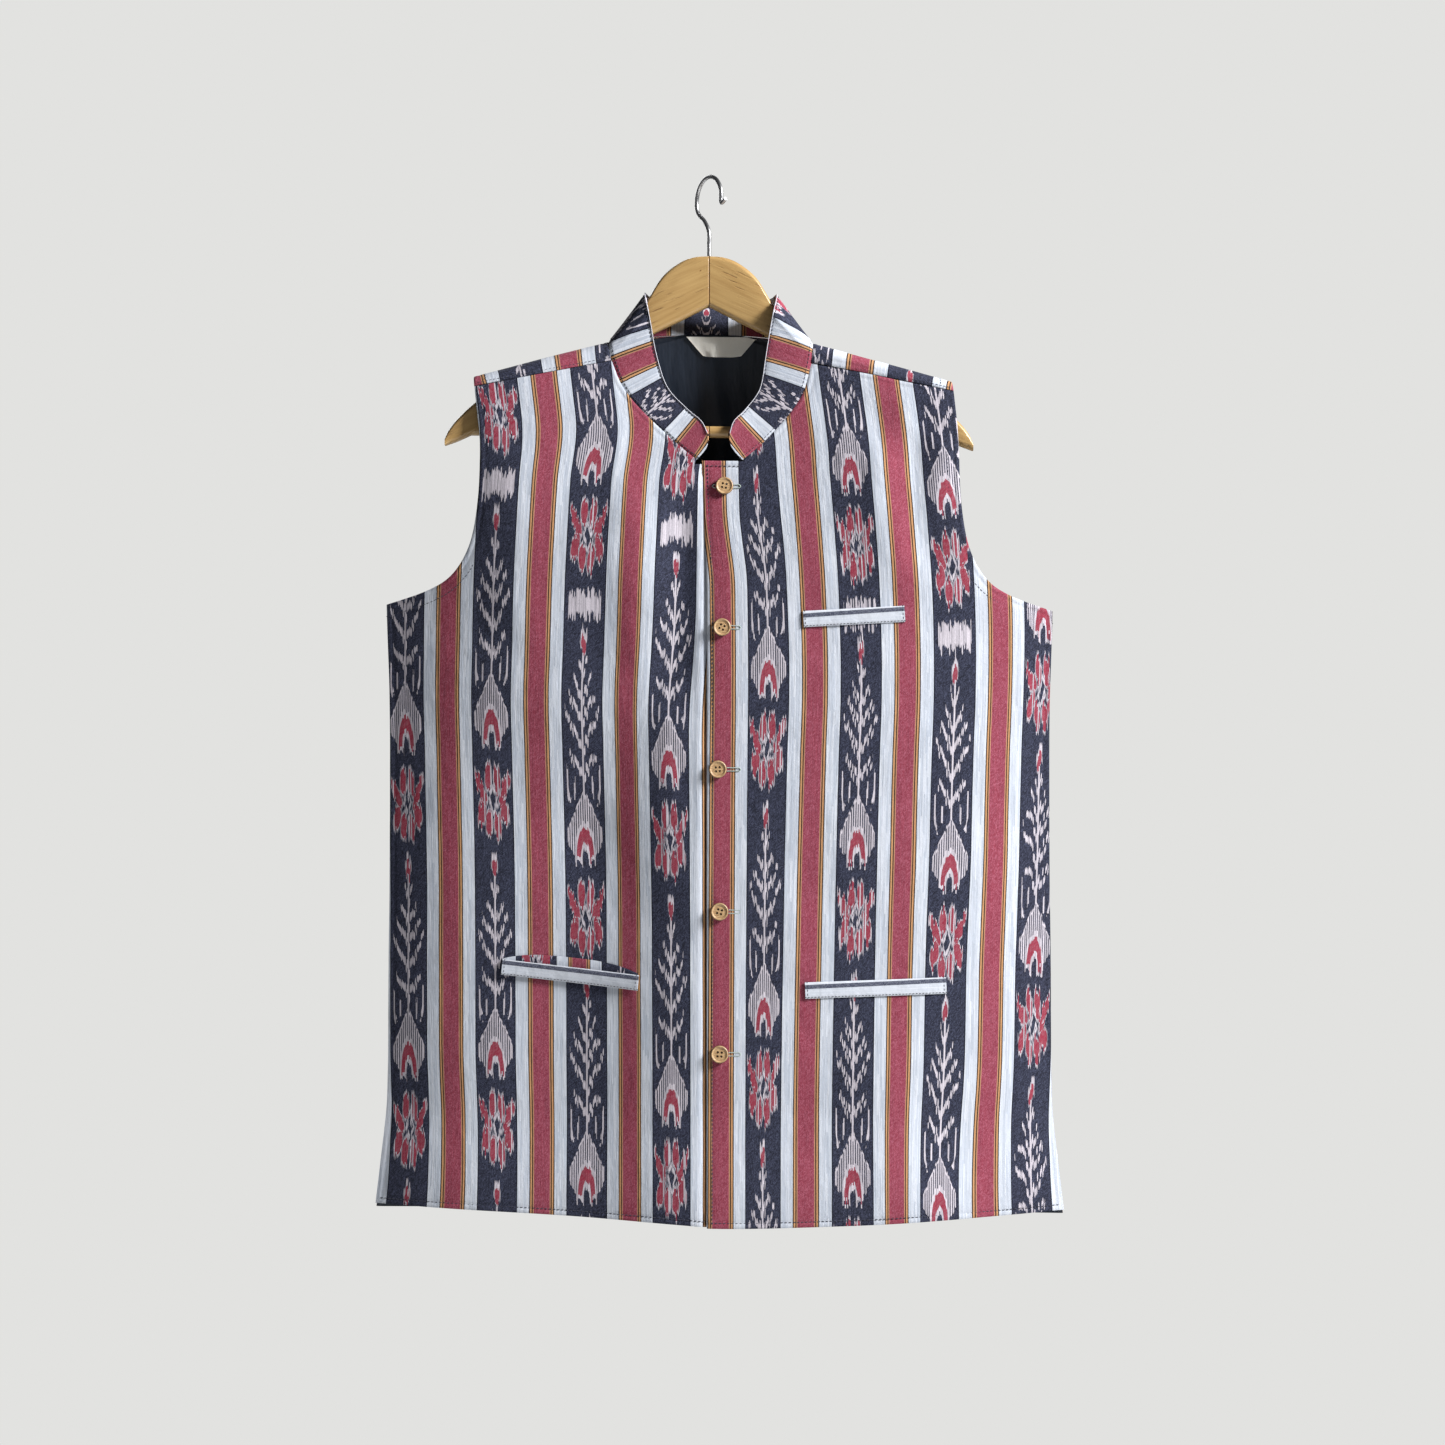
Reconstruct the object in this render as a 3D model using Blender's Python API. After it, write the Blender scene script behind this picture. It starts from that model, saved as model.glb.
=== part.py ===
"""A sleeveless jacket with a band collar, hanging on a contoured wooden hanger.

The frame is in metres with +Z up. The origin is the point where the hanger's hook bears on
what carries it. The jacket's front faces -Y and the wearer's left side is +X.

Every cut piece is a thin closed wall. A panel is first drawn flat, as an outline in the
cloth's own coordinates, then laid on the garment's surface and given its thickness inwards.
Across the body the coordinate is x, before the jacket is set off the hanger's centre. Up and
down it is z on the fronts, and on the back it is the arc: the way from the shoulder ridge
along the cloth, negative down the back and positive down the front.
"""

import math
from collections import namedtuple

import bmesh
import bpy
from mathutils import Vector, geometry

# Cloth and seams
CLOTH = 0.0016
COLLAR_CLOTH = 0.0022
LINING_CLOTH = 0.0010
LABEL_CLOTH = 0.0008
WELT_CLOTH = 0.0012
SEAM_GAP = 0.0003
LINING_GAP = 0.0010
LAID_GAP = 0.0004

# Cut of the jacket
CHEST_HALF = 0.2814
SIDE_POWER = 3.0
FRONT_POWER = 1.7
FRONT_POWER_Z = (-0.240, -0.400)
NECK_HALF = 0.0865
NECK_POINT_Z = -0.1395
SHOULDER_SLOPE = 0.277
SHOULDER_END = 0.202
RIDGE_RADIUS = 0.009
ARMPIT_Z = -0.365
YOKE_SEAM_NECK_Z = -0.163
YOKE_SEAM_END_Z = -0.186
PLACKET_TOP_Z = -0.2413
PLACKET_EDGE = -0.008
PLACKET_COLUMNS = (0.003, 0.022)
PLACKET_HEM_POWER = 1.6
UNDERLAP_EDGE = 0.024
UNDERLAP_HEM_POWER = 0.8
UNDERLAP_TOP_DROP = 0.003
UNDERLAP_RECESS = 0.0050
UNDERLAP_STEP = (-0.020, -0.0095)
NECK_CORNER = 0.0015
SLIT_TOP_Z = -0.781
SLIT_SPREAD = 0.007
HEM_SIDE_Z = -0.8695
FRONT_HEM_DROP = 0.014
BACK_HEM_Z = -0.8800
BACK_HEM_RISE = 0.006
LINING_SIDE_INSET = 0.020
LINING_EDGE_INSET = 0.003
LINING_HEM_Z = -0.8660

# Where the cloth hangs
NECK_CENTRE = 0.0015
BODY_CENTRE = 0.009
CENTRE_SHIFT_Z = (-0.140, -0.240)
LEAN = 0.010

# Meshing
COLUMN_STEP = 0.0215
ROW_STEP = 0.034
EDGE_STEP = 0.025
HEM_COLUMNS = 14
CURVE_STEPS = 3
LINING_COARSER = 1.45
LINE_CLEARANCE = 0.4
EDGE_CLEARANCE = 0.004
DIFFERENCE = 0.0004
SEAM_TOLERANCE = 0.0001
CENTRE_TOLERANCE = 1e-6
MERGE_TOLERANCE = 1e-7
SHARP_ANGLE = math.radians(40.0)
RIDGE_ARCS = [0.5 * math.pi * RIDGE_RADIUS * step / 3.0 for step in range(-3, 4)]

BodyRow = namedtuple("BodyRow", "z half_width front_depth back_depth")
BODY = (
    BodyRow(-0.110, 0.2814, 0.0120, 0.0150),
    BodyRow(-0.140, 0.2814, 0.0130, 0.0150),
    BodyRow(-0.180, 0.2814, 0.0175, 0.0170),
    BodyRow(-0.240, 0.2814, 0.0270, 0.0200),
    BodyRow(-0.300, 0.2814, 0.0340, 0.0220),
    BodyRow(-0.365, 0.2814, 0.0390, 0.0240),
    BodyRow(-0.443, 0.2789, 0.0420, 0.0255),
    BodyRow(-0.570, 0.2787, 0.0450, 0.0280),
    BodyRow(-0.662, 0.2797, 0.0470, 0.0300),
    BodyRow(-0.781, 0.2810, 0.0500, 0.0330),
    BodyRow(-0.830, 0.2857, 0.0515, 0.0340),
    BodyRow(-0.885, 0.2920, 0.0530, 0.0350),
)

ArmholeRow = namedtuple("ArmholeRow", "x z")
ARMHOLE = (
    ArmholeRow(0.2018, -0.208),
    ArmholeRow(0.2015, -0.231),
    ArmholeRow(0.2030, -0.274),
    ArmholeRow(0.2096, -0.312),
    ArmholeRow(0.2239, -0.338),
    ArmholeRow(0.2450, -0.3525),
    ArmholeRow(CHEST_HALF, ARMPIT_Z),
)

# The neckline from the centre back to the centre front, with the collar's free edge over it.
# face is -1 on the back, 0 on the shoulder ridge and 1 on the front.
NeckRow = namedtuple("NeckRow", "face x z top_x top_y top_z")
NECK = (
    NeckRow(-1, 0.0000, -0.1310, 0.0000, 0.0380, -0.1060),
    NeckRow(-1, 0.0300, -0.1320, 0.0220, 0.0370, -0.1050),
    NeckRow(-1, 0.0550, -0.1345, 0.0420, 0.0310, -0.1015),
    NeckRow(-1, 0.0760, -0.1385, 0.0530, 0.0180, -0.0985),
    NeckRow(0, NECK_HALF, NECK_POINT_Z, 0.0560, -0.0030, -0.0985),
    NeckRow(1, 0.0855, -0.1500, 0.0530, -0.0160, -0.1140),
    NeckRow(1, 0.0825, YOKE_SEAM_NECK_Z, 0.0492, -0.0170, -0.1340),
    NeckRow(1, 0.0770, -0.1790, 0.0457, -0.0170, -0.1545),
    NeckRow(1, 0.0640, -0.1980, 0.0390, -0.0180, -0.1795),
    NeckRow(1, 0.0440, -0.2190, 0.0250, -0.0205, -0.1970),
    NeckRow(1, 0.0290, -0.2325, 0.0140, -0.0240, -0.2075),
    NeckRow(1, 0.0195, -0.2400, 0.0098, -0.0265, -0.2170),
)
RIDGE_ROW = 4
YOKE_SEAM_ROW = 6
COLLAR_END_BULGE = 0.0045
COLLAR_BULGE_STATIONS = (3, 2)
COLLAR_FOOT_GAP = 1.5 * SEAM_GAP
COLLAR_STEPS_PER_ROW = 2
COLLAR_ROWS = 4

# Soft folds pressed in or out of a face, from one end to the other. Each rises over the first
# part of its length, given by the fade, and dies away at the tail.
FOLD_FADE = 0.3
FOLD_TAIL = 1.15
FoldRow = namedtuple("FoldRow", "face x0 z0 x1 z1 width lift")
FOLDS = (
    FoldRow(1, -0.030, -0.250, -0.044, -0.440, 0.020, -0.0050),
    FoldRow(1, -0.066, -0.240, -0.070, -0.420, 0.022, 0.0030),
    FoldRow(1, 0.122, -0.195, 0.150, -0.340, 0.020, 0.0035),
    FoldRow(1, 0.154, -0.200, 0.172, -0.330, 0.018, -0.0035),
    FoldRow(1, -0.170, -0.215, -0.176, -0.390, 0.024, 0.0030),
    FoldRow(1, -0.100, -0.430, -0.125, -0.940, 0.050, -0.0090),
    FoldRow(1, -0.036, -0.560, -0.044, -0.920, 0.020, 0.0030),
    FoldRow(1, 0.130, -0.700, 0.150, -0.900, 0.036, 0.0050),
    FoldRow(1, 0.215, -0.760, 0.225, -0.900, 0.030, -0.0040),
    FoldRow(-1, -0.110, -0.260, -0.135, -0.860, 0.034, 0.0060),
    FoldRow(-1, 0.105, -0.280, 0.140, -0.860, 0.034, 0.0055),
    FoldRow(-1, -0.020, -0.420, -0.030, -0.900, 0.030, 0.0040),
    FoldRow(-1, 0.215, -0.460, 0.225, -0.860, 0.030, 0.0040),
)

# Pockets: the two ends of each welt's middle line
WeltRow = namedtuple("WeltRow", "name x0 z0 x1 z1 height lift")
WELTS = (
    WeltRow("chest_welt", 0.0703, -0.3744, 0.1553, -0.3690, 0.0136, 0.0),
    WeltRow("pocket_welt_left", 0.0715, -0.6853, 0.1905, -0.6805, 0.0138, 0.0),
    WeltRow("pocket_welt_right", -0.1834, -0.6690, -0.0679, -0.6807, 0.0130, 0.0024),
)
FACING = WeltRow("pocket_facing_right", -0.1824, -0.6645, -0.0689, -0.6755, 0.0190, 0.0)
FACING_CLOTH = 0.0008
WELT_COLUMNS = 10
WELT_HEIGHTS = (-0.5, 0.0, 0.5)

# Label
LABEL_CENTRE_X = 0.0095
LABEL_TOP_Z = -0.1332
LABEL_HEIGHT = 0.0170
LABEL_TOP_WIDTH = 0.061
LABEL_BOTTOM_WIDTH = 0.033
LABEL_COLUMNS = 6
LABEL_ROWS = 3

# Buttons
BUTTON_RADIUS = 0.0075
BUTTON_THICKNESS = 0.0034
BUTTON_DISH = 0.0009
BUTTON_SIDES = 20
BUTTON_TOP_Z = -0.263
BUTTON_PITCH = 0.119
BUTTON_X = (0.0040, 0.0020, -0.0015, 0.0000, 0.0000)
ProfileRow = namedtuple("ProfileRow", "radius height")
BUTTON_PROFILE = (
    ProfileRow(0.74 * BUTTON_RADIUS, 0.0),
    ProfileRow(BUTTON_RADIUS, 0.4 * BUTTON_THICKNESS),
    ProfileRow(0.97 * BUTTON_RADIUS, 0.85 * BUTTON_THICKNESS),
    ProfileRow(0.88 * BUTTON_RADIUS, BUTTON_THICKNESS),
    ProfileRow(0.70 * BUTTON_RADIUS, BUTTON_THICKNESS - BUTTON_DISH),
)

# Hanger
HANGER_CONTOUR = 0.016
CONTOUR_REACH = 0.260
ARM_THICKNESS = 0.0125
ARM_ROUNDING = 0.0045
ARM_ROUNDING_SHARE = 0.7
ARM_SIDES = 12
MITRE_GAP = 0.00015
BAR_RADIUS = 0.005
BAR_Z = -0.2163
BAR_END = 0.206
BAR_SIDES = 16

ArmRow = namedtuple("ArmRow", "x top bottom")
ARM = (
    ArmRow(MITRE_GAP, -0.0659, -0.1090),
    ArmRow(0.0120, -0.0668, -0.1150),
    ArmRow(0.0245, -0.0715, -0.1215),
    ArmRow(0.0397, -0.0837, -0.1290),
    ArmRow(0.0500, -0.1000, -0.1345),
    ArmRow(0.0590, -0.1160, -0.1410),
    ArmRow(0.0680, -0.1330, -0.1500),
    ArmRow(0.0760, -0.1412, -0.1590),
    ArmRow(0.0880, -0.1446, -0.1680),
    ArmRow(0.1090, -0.1486, -0.1770),
    ArmRow(0.1430, -0.1584, -0.1905),
    ArmRow(0.1682, -0.1730, -0.2035),
    ArmRow(0.1969, -0.1927, -0.2190),
    ArmRow(0.2120, -0.2070, -0.2262),
    ArmRow(0.2195, -0.2165, -0.2290),
    ArmRow(0.2230, -0.2245, -0.2300),
)

# Hook
WIRE_RADIUS = 0.00175
HOOK_RADIUS = 0.020
HOOK_TURN = math.radians(-58.0)
HOOK_SIDES = 8
HOOK_FOOT_Z = ARM[0].top + SEAM_GAP
HookRow = namedtuple("HookRow", "across z")
HOOK_NECK = (
    HookRow(0.0, HOOK_FOOT_Z),
    HookRow(0.0, -0.0560),
    HookRow(-0.0004, -0.0450),
    HookRow(-0.0070, -0.0355),
)
HOOK_ARC = (math.radians(205.0), math.radians(-12.0))
HOOK_ARC_STEPS = 7
HOOK_TIP = HookRow(0.0262, -0.0200)

Finish = namedtuple("Finish", "name colour roughness metallic")
STRIPE_CLOTH = Finish("striped_cotton", (0.150, 0.170, 0.240, 1.0), 0.85, 0.0)
PALE_CLOTH = Finish("pale_stripe_cotton", (0.520, 0.600, 0.700, 1.0), 0.85, 0.0)
LINING = Finish("satin_lining", (0.012, 0.018, 0.030, 1.0), 0.40, 0.0)
LABEL = Finish("label_tape", (0.820, 0.790, 0.720, 1.0), 0.70, 0.0)
BUTTON_WOOD = Finish("button_wood", (0.560, 0.340, 0.160, 1.0), 0.45, 0.0)
HANGER_WOOD = Finish("hanger_wood", (0.640, 0.390, 0.180, 1.0), 0.40, 0.0)
STEEL = Finish("hook_steel", (0.620, 0.620, 0.620, 1.0), 0.25, 1.0)


def clear_scene():
    """Removes every object, so that the part starts from nothing."""
    for thing in list(bpy.data.objects):
        bpy.data.objects.remove(thing, do_unlink=True)


def material(finish):
    """Returns the Principled material of a finish, made the first time it is asked for."""
    found = bpy.data.materials.get(finish.name)
    if found:
        return found
    made = bpy.data.materials.new(finish.name)
    made.use_nodes = True
    shader = made.node_tree.nodes["Principled BSDF"]
    shader.inputs["Base Color"].default_value = finish.colour
    shader.inputs["Roughness"].default_value = finish.roughness
    shader.inputs["Metallic"].default_value = finish.metallic
    return made


def smooth_step(value):
    """Returns 0 below 0, 1 above 1 and a smooth rise between."""
    clamped = min(max(value, 0.0), 1.0)
    return clamped * clamped * (3.0 - 2.0 * clamped)


def read_table(rows, key, column, at):
    """Reads a column of a table at a key between its rows, on a smooth curve."""
    ordered = sorted(rows, key=lambda row: getattr(row, key))
    keys = [getattr(row, key) for row in ordered]
    values = [getattr(row, column) for row in ordered]
    if at <= keys[0]:
        return values[0]
    if at >= keys[-1]:
        return values[-1]
    index = max(i for i, start in enumerate(keys) if start <= at)
    index = min(index, len(keys) - 2)

    def slope(i):
        low, high = max(i - 1, 0), min(i + 1, len(keys) - 1)
        return (values[high] - values[low]) / (keys[high] - keys[low])

    span = keys[index + 1] - keys[index]
    t = (at - keys[index]) / span
    start, end = values[index], values[index + 1]
    start_slope, end_slope = slope(index) * span, slope(index + 1) * span
    return (
        (2 * t**3 - 3 * t**2 + 1) * start
        + (t**3 - 2 * t**2 + t) * start_slope
        + (3 * t**2 - 2 * t**3) * end
        + (t**3 - t**2) * end_slope
    )


def spline(points, steps):
    """Returns points on a smooth curve through the given vectors, steps to each stretch."""
    curve = []
    for i in range(len(points) - 1):
        before = points[max(i - 1, 0)]
        start, end = points[i], points[i + 1]
        after = points[min(i + 2, len(points) - 1)]
        for step in range(steps):
            t = step / steps
            curve.append(
                0.5
                * (
                    2 * start
                    + (end - before) * t
                    + (2 * before - 5 * start + 4 * end - after) * t**2
                    + (3 * start - before - 3 * end + after) * t**3
                )
            )
    curve.append(points[-1].copy())
    return curve


def middle_y(x):
    """The depth of the hanger's arms and of the side seams, which the contour brings forward."""
    reach = min(abs(x) / CONTOUR_REACH, 1.0)
    return -HANGER_CONTOUR * math.sin(0.5 * math.pi * reach) ** 2


def ridge_z(x):
    """The height of the shoulder ridge, which runs on as a guide over the neck."""
    return NECK_POINT_Z - SHOULDER_SLOPE * (abs(x) - NECK_HALF)


def arc_of_drop(drop):
    """The way along the cloth from the ridge to a point that lies drop below it."""
    if drop >= RIDGE_RADIUS:
        return drop - RIDGE_RADIUS + 0.5 * math.pi * RIDGE_RADIUS
    return RIDGE_RADIUS * math.acos(1.0 - max(drop, 0.0) / RIDGE_RADIUS)


def drop_of_arc(arc):
    """The drop below the ridge at a way along the cloth from it."""
    quarter = 0.5 * math.pi * RIDGE_RADIUS
    if abs(arc) >= quarter:
        return abs(arc) - quarter + RIDGE_RADIUS
    return RIDGE_RADIUS * (1.0 - math.cos(arc / RIDGE_RADIUS))


def round_over(drop):
    """How much of the full depth the cloth has reached at a drop below the ridge."""
    left = 1.0 - min(max(drop / RIDGE_RADIUS, 0.0), 1.0)
    return math.sqrt(1.0 - left * left)


def fold_lift(face, x, z):
    """The height of the soft folds of one face at a place on it."""
    total = 0.0
    for fold in FOLDS:
        if fold.face != face:
            continue
        start = Vector((fold.x0, fold.z0))
        run = Vector((fold.x1, fold.z1)) - start
        way = (Vector((x, z)) - start).dot(run) / run.length_squared
        distance = abs((Vector((x, z)) - start).cross(run)) / run.length
        fade = smooth_step(way / FOLD_FADE) * smooth_step((FOLD_TAIL - way) / FOLD_FADE)
        total += fold.lift * fade * math.exp(-((distance / fold.width) ** 2))
    return total


def side_power(face, z):
    """How squarely a face turns to its side seams: below the armholes the front falls away
    more evenly from its button line."""
    if face < 0:
        return SIDE_POWER
    way = (FRONT_POWER_Z[0] - z) / (FRONT_POWER_Z[0] - FRONT_POWER_Z[1])
    return SIDE_POWER + (FRONT_POWER - SIDE_POWER) * smooth_step(way)


def depth(face, x, z, folded=True):
    """How far a face of the jacket stands off the plane of its side seams."""
    column = "front_depth" if face > 0 else "back_depth"
    across = 1.0 - min(abs(x) / CHEST_HALF, 1.0) ** side_power(face, z)
    swell = read_table(BODY, "z", column, z) + (fold_lift(face, x, z) if folded else 0.0)
    spread = SLIT_SPREAD * smooth_step((SLIT_TOP_Z - z) / (SLIT_TOP_Z - HEM_SIDE_Z))
    return swell * across * round_over(ridge_z(x) - z) + spread + 0.5 * SEAM_GAP * (1.0 - across)


def hang(x, y, z):
    """Sets a point of the upright garment off the hanger's centre and leans it."""
    shift = smooth_step((CENTRE_SHIFT_Z[0] - z) / (CENTRE_SHIFT_Z[0] - CENTRE_SHIFT_Z[1]))
    centre = NECK_CENTRE + (BODY_CENTRE - NECK_CENTRE) * shift
    return Vector((x + centre, y, z - LEAN * x))


def body_point(face, x, z, folded=True):
    """The outer surface of the front or the back at a place given by x and z."""
    spread = read_table(BODY, "z", "half_width", z) - CHEST_HALF
    across = x + math.copysign(spread * (abs(x) / CHEST_HALF) ** SIDE_POWER, x)
    return hang(across, middle_y(x) - face * depth(face, x, z, folded), z)


def front_point(x, z):
    """The outer surface of the wearer's left front."""
    return body_point(1, x, z)


def under_front_point(x, z):
    """The outer surface of the wearer's right front, which steps back under the lap."""
    start, end = UNDERLAP_STEP
    recess = UNDERLAP_RECESS * smooth_step((x - start) / (end - start))
    return body_point(1, x, z) + Vector((0.0, recess, 0.0))


def back_point(x, arc, folded=True):
    """The outer surface of the back and of its strip over the shoulder."""
    face = 1 if arc > 0 else -1
    return body_point(face, x, ridge_z(x) - drop_of_arc(arc), folded)


def plain_back_point(x, arc):
    """The back without its folds, which the lining follows."""
    return back_point(x, arc, False)


def arc_on(face, x, z):
    """The arc of a place that is given by its face, x and z."""
    return face * arc_of_drop(ridge_z(x) - z)


def outward_normal(surface, u, v, sense):
    """The surface's unit normal, turned outwards by sense."""
    along_u = surface(u + DIFFERENCE, v) - surface(u - DIFFERENCE, v)
    along_v = surface(u, v + DIFFERENCE) - surface(u, v - DIFFERENCE)
    return along_u.cross(along_v).normalized() * sense


def resample(points, coarser):
    """Splits an outline's long edges, so that no edge is much longer than the edge step."""
    fine = []
    for start, end in zip(points, points[1:] + points[:1]):
        parts = max(1, math.ceil((end - start).length / (coarser * EDGE_STEP)))
        fine += [start.lerp(end, part / parts) for part in range(parts)]
    return fine


def is_inside(point, outline):
    """Tells whether a flat point lies inside an outline."""
    inside = False
    for start, end in zip(outline, outline[1:] + outline[:1]):
        if (start.y > point.y) != (end.y > point.y):
            cross = start.x + (point.y - start.y) * (end.x - start.x) / (end.y - start.y)
            inside ^= point.x < cross
    return inside


def edge_distance(point, outline):
    """The distance from a flat point to the nearest edge of an outline."""
    nearest = math.inf
    for start, end in zip(outline, outline[1:] + outline[:1]):
        close, way = geometry.intersect_point_line(point, start, end)
        close = Vector(close[:2]) if 0.0 <= way <= 1.0 else (start if way < 0.0 else end)
        nearest = min(nearest, (point - close).length)
    return nearest


def fill(outline, coarser=1.0, extra_columns=(), extra_rows=()):
    """Fills an outline with triangles over even columns and rows.

    Returns the flat points and the triangles, turned anticlockwise.
    """
    edge = resample(outline, coarser)
    low_x, high_x = min(p.x for p in edge), max(p.x for p in edge)
    low_v, high_v = min(p.y for p in edge), max(p.y for p in edge)
    column_count = max(1, round((high_x - low_x) / (coarser * COLUMN_STEP)))
    row_count = max(1, round((high_v - low_v) / (coarser * ROW_STEP)))
    columns = [low_x + (high_x - low_x) * i / column_count for i in range(1, column_count)]
    clear = LINE_CLEARANCE * COLUMN_STEP
    columns = [x for x in columns if all(abs(x - e) > clear for e in extra_columns)]
    columns += extra_columns
    rows = [low_v + (high_v - low_v) * i / row_count for i in range(1, row_count)]
    clear = LINE_CLEARANCE * ROW_STEP
    rows = [v for v in rows if all(abs(v - e) > clear for e in extra_rows)]
    rows += extra_rows
    inner = []
    for x in columns:
        for v in rows:
            point = Vector((x, v))
            if is_inside(point, edge) and edge_distance(point, edge) > EDGE_CLEARANCE:
                inner.append(point)
    loop = list(range(len(edge)))
    filled = geometry.delaunay_2d_cdt(edge + inner, [], [loop], 1, MERGE_TOLERANCE)
    points, faces = filled[0], filled[2]
    turned = []
    for face in faces:
        a, b, c = (points[i] for i in face)
        turned.append(tuple(face) if (b - a).cross(c - a) > 0 else tuple(reversed(face)))
    return points, turned


def finish_object(name, mesh_data, finish):
    """Links a mesh as one smooth-shaded object with its material."""
    mesh = bpy.data.meshes.new(name)
    mesh_data.to_mesh(mesh)
    mesh_data.free()
    mesh.shade_smooth()
    mesh.set_sharp_from_angle(angle=SHARP_ANGLE)
    mesh.materials.append(material(finish))
    thing = bpy.data.objects.new(name, mesh)
    bpy.context.scene.collection.objects.link(thing)
    return thing


def close_wall(name, outer, inner, faces, finish):
    """Makes a closed wall from its outer and inner points, which share their triangles."""
    data = bmesh.new()
    outside = [data.verts.new(point) for point in outer]
    inside = [data.verts.new(point) for point in inner]
    edges = {}
    for a, b, c in faces:
        data.faces.new((outside[a], outside[b], outside[c]))
        data.faces.new((inside[c], inside[b], inside[a]))
        for start, end in ((a, b), (b, c), (c, a)):
            edges[(start, end)] = True
    for start, end in edges:
        if (end, start) not in edges:
            data.faces.new((outside[end], outside[start], inside[start], inside[end]))
    loose = [vertex for vertex in data.verts if not vertex.link_faces]
    bmesh.ops.delete(data, geom=loose, context="VERTS")
    if data.calc_volume(signed=True) < 0.0:
        bmesh.ops.reverse_faces(data, faces=data.faces)
    return finish_object(name, data, finish)


def make_panel(name, outline, surface, sense, finish, thickness=CLOTH, inset=0.0,
               coarser=1.0, columns=(), rows=()):
    """Lays a flat outline on a surface and closes it as a wall.

    inset is how far the wall's outer side lies inside the surface, or outside it when
    negative. Along the side seams the wall is cut off parallel to the seams' plane.
    """
    points, faces = fill(outline, coarser, columns, rows)
    used = {index for face in faces for index in face}
    outer, inner = [], []
    for index, point in enumerate(points):
        if index not in used:
            outer.append(Vector())
            inner.append(Vector())
            continue
        place = surface(point.x, point.y)
        if abs(point.x) > CHEST_HALF - SEAM_TOLERANCE:
            inward = math.copysign(DIFFERENCE, -point.x)
            normal = outward_normal(surface, point.x + inward, point.y, sense)
            flat = Vector((normal.x, 0.0, normal.z))
            normal = flat / flat.length_squared
        else:
            normal = outward_normal(surface, point.x, point.y, sense)
        outer.append(place - normal * inset)
        inner.append(place - normal * (inset + thickness))
    return close_wall(name, outer, inner, faces, finish)


def side_edge(bottom_z):
    """The side seam's points from the armpit down to the hem."""
    count = math.ceil((ARMPIT_Z - bottom_z) / EDGE_STEP)
    return [
        Vector((CHEST_HALF, ARMPIT_Z + (bottom_z - ARMPIT_Z) * i / count))
        for i in range(1, count + 1)
    ]


def armhole_edge():
    """The armhole's points from below the shoulder to the armpit."""
    return spline([Vector((row.x, row.z)) for row in ARMHOLE], CURVE_STEPS)


def front_hem_z(x, power):
    """The height of a front's hem, which drops towards the centre front."""
    return HEM_SIDE_Z - FRONT_HEM_DROP * (1.0 - (min(abs(x) / CHEST_HALF, 1.0)) ** power)


def front_outline(edge_x, top_z, hem_power):
    """The outline of a front on the +X side, with its free edge at edge_x."""
    neck = spline([Vector((row.x, row.z)) for row in NECK[YOKE_SEAM_ROW:]], 2)
    yoke_end = Vector((SHOULDER_END, YOKE_SEAM_END_Z - SEAM_GAP))
    yoke_start = neck[0] - Vector((0.0, SEAM_GAP))
    hem = []
    for i in range(HEM_COLUMNS + 1):
        x = CHEST_HALF + (edge_x - CHEST_HALF) * i / HEM_COLUMNS
        hem.append(Vector((x, front_hem_z(x, hem_power))))
    outline = [yoke_start, yoke_end] + armhole_edge() + side_edge(HEM_SIDE_Z)[:-1] + hem
    outline += [Vector((edge_x, top_z))]
    outline += [Vector((neck[-1].x + NECK_CORNER, top_z))] + list(reversed(neck[1:]))
    return outline


def make_fronts():
    """The two fronts: the wearer's left laps over the right."""
    left = front_outline(PLACKET_EDGE, PLACKET_TOP_Z, PLACKET_HEM_POWER)
    make_panel("front_left", left, front_point, 1, STRIPE_CLOTH, columns=list(PLACKET_COLUMNS))
    lap_top = PLACKET_TOP_Z - UNDERLAP_TOP_DROP
    right = front_outline(-UNDERLAP_EDGE, lap_top, UNDERLAP_HEM_POWER)
    right = [Vector((-point.x, point.y)) for point in reversed(right)]
    start, end = UNDERLAP_STEP
    step_columns = [start, 0.5 * (start + end), end, 0.5 * UNDERLAP_EDGE]
    make_panel("front_right", right, under_front_point, 1, STRIPE_CLOTH, columns=step_columns)


def neck_arcs(rows, steps):
    """The neckline in x and arc, from the centre back towards the centre front."""
    corners = [Vector((row.x, arc_on(row.face, row.x, row.z))) for row in rows]
    return spline(corners, steps)


def back_hem_z(x):
    """The height of the back's hem, lowest at the centre back."""
    return BACK_HEM_Z + BACK_HEM_RISE * (abs(x) / CHEST_HALF) ** 2


def mirrored(half):
    """Joins a half outline, drawn from the centre down +X to the centre, with its mirror."""
    other = [Vector((-point.x, point.y)) for point in reversed(half)]
    return half + [point for point in other if abs(point.x) > CENTRE_TOLERANCE]


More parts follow.
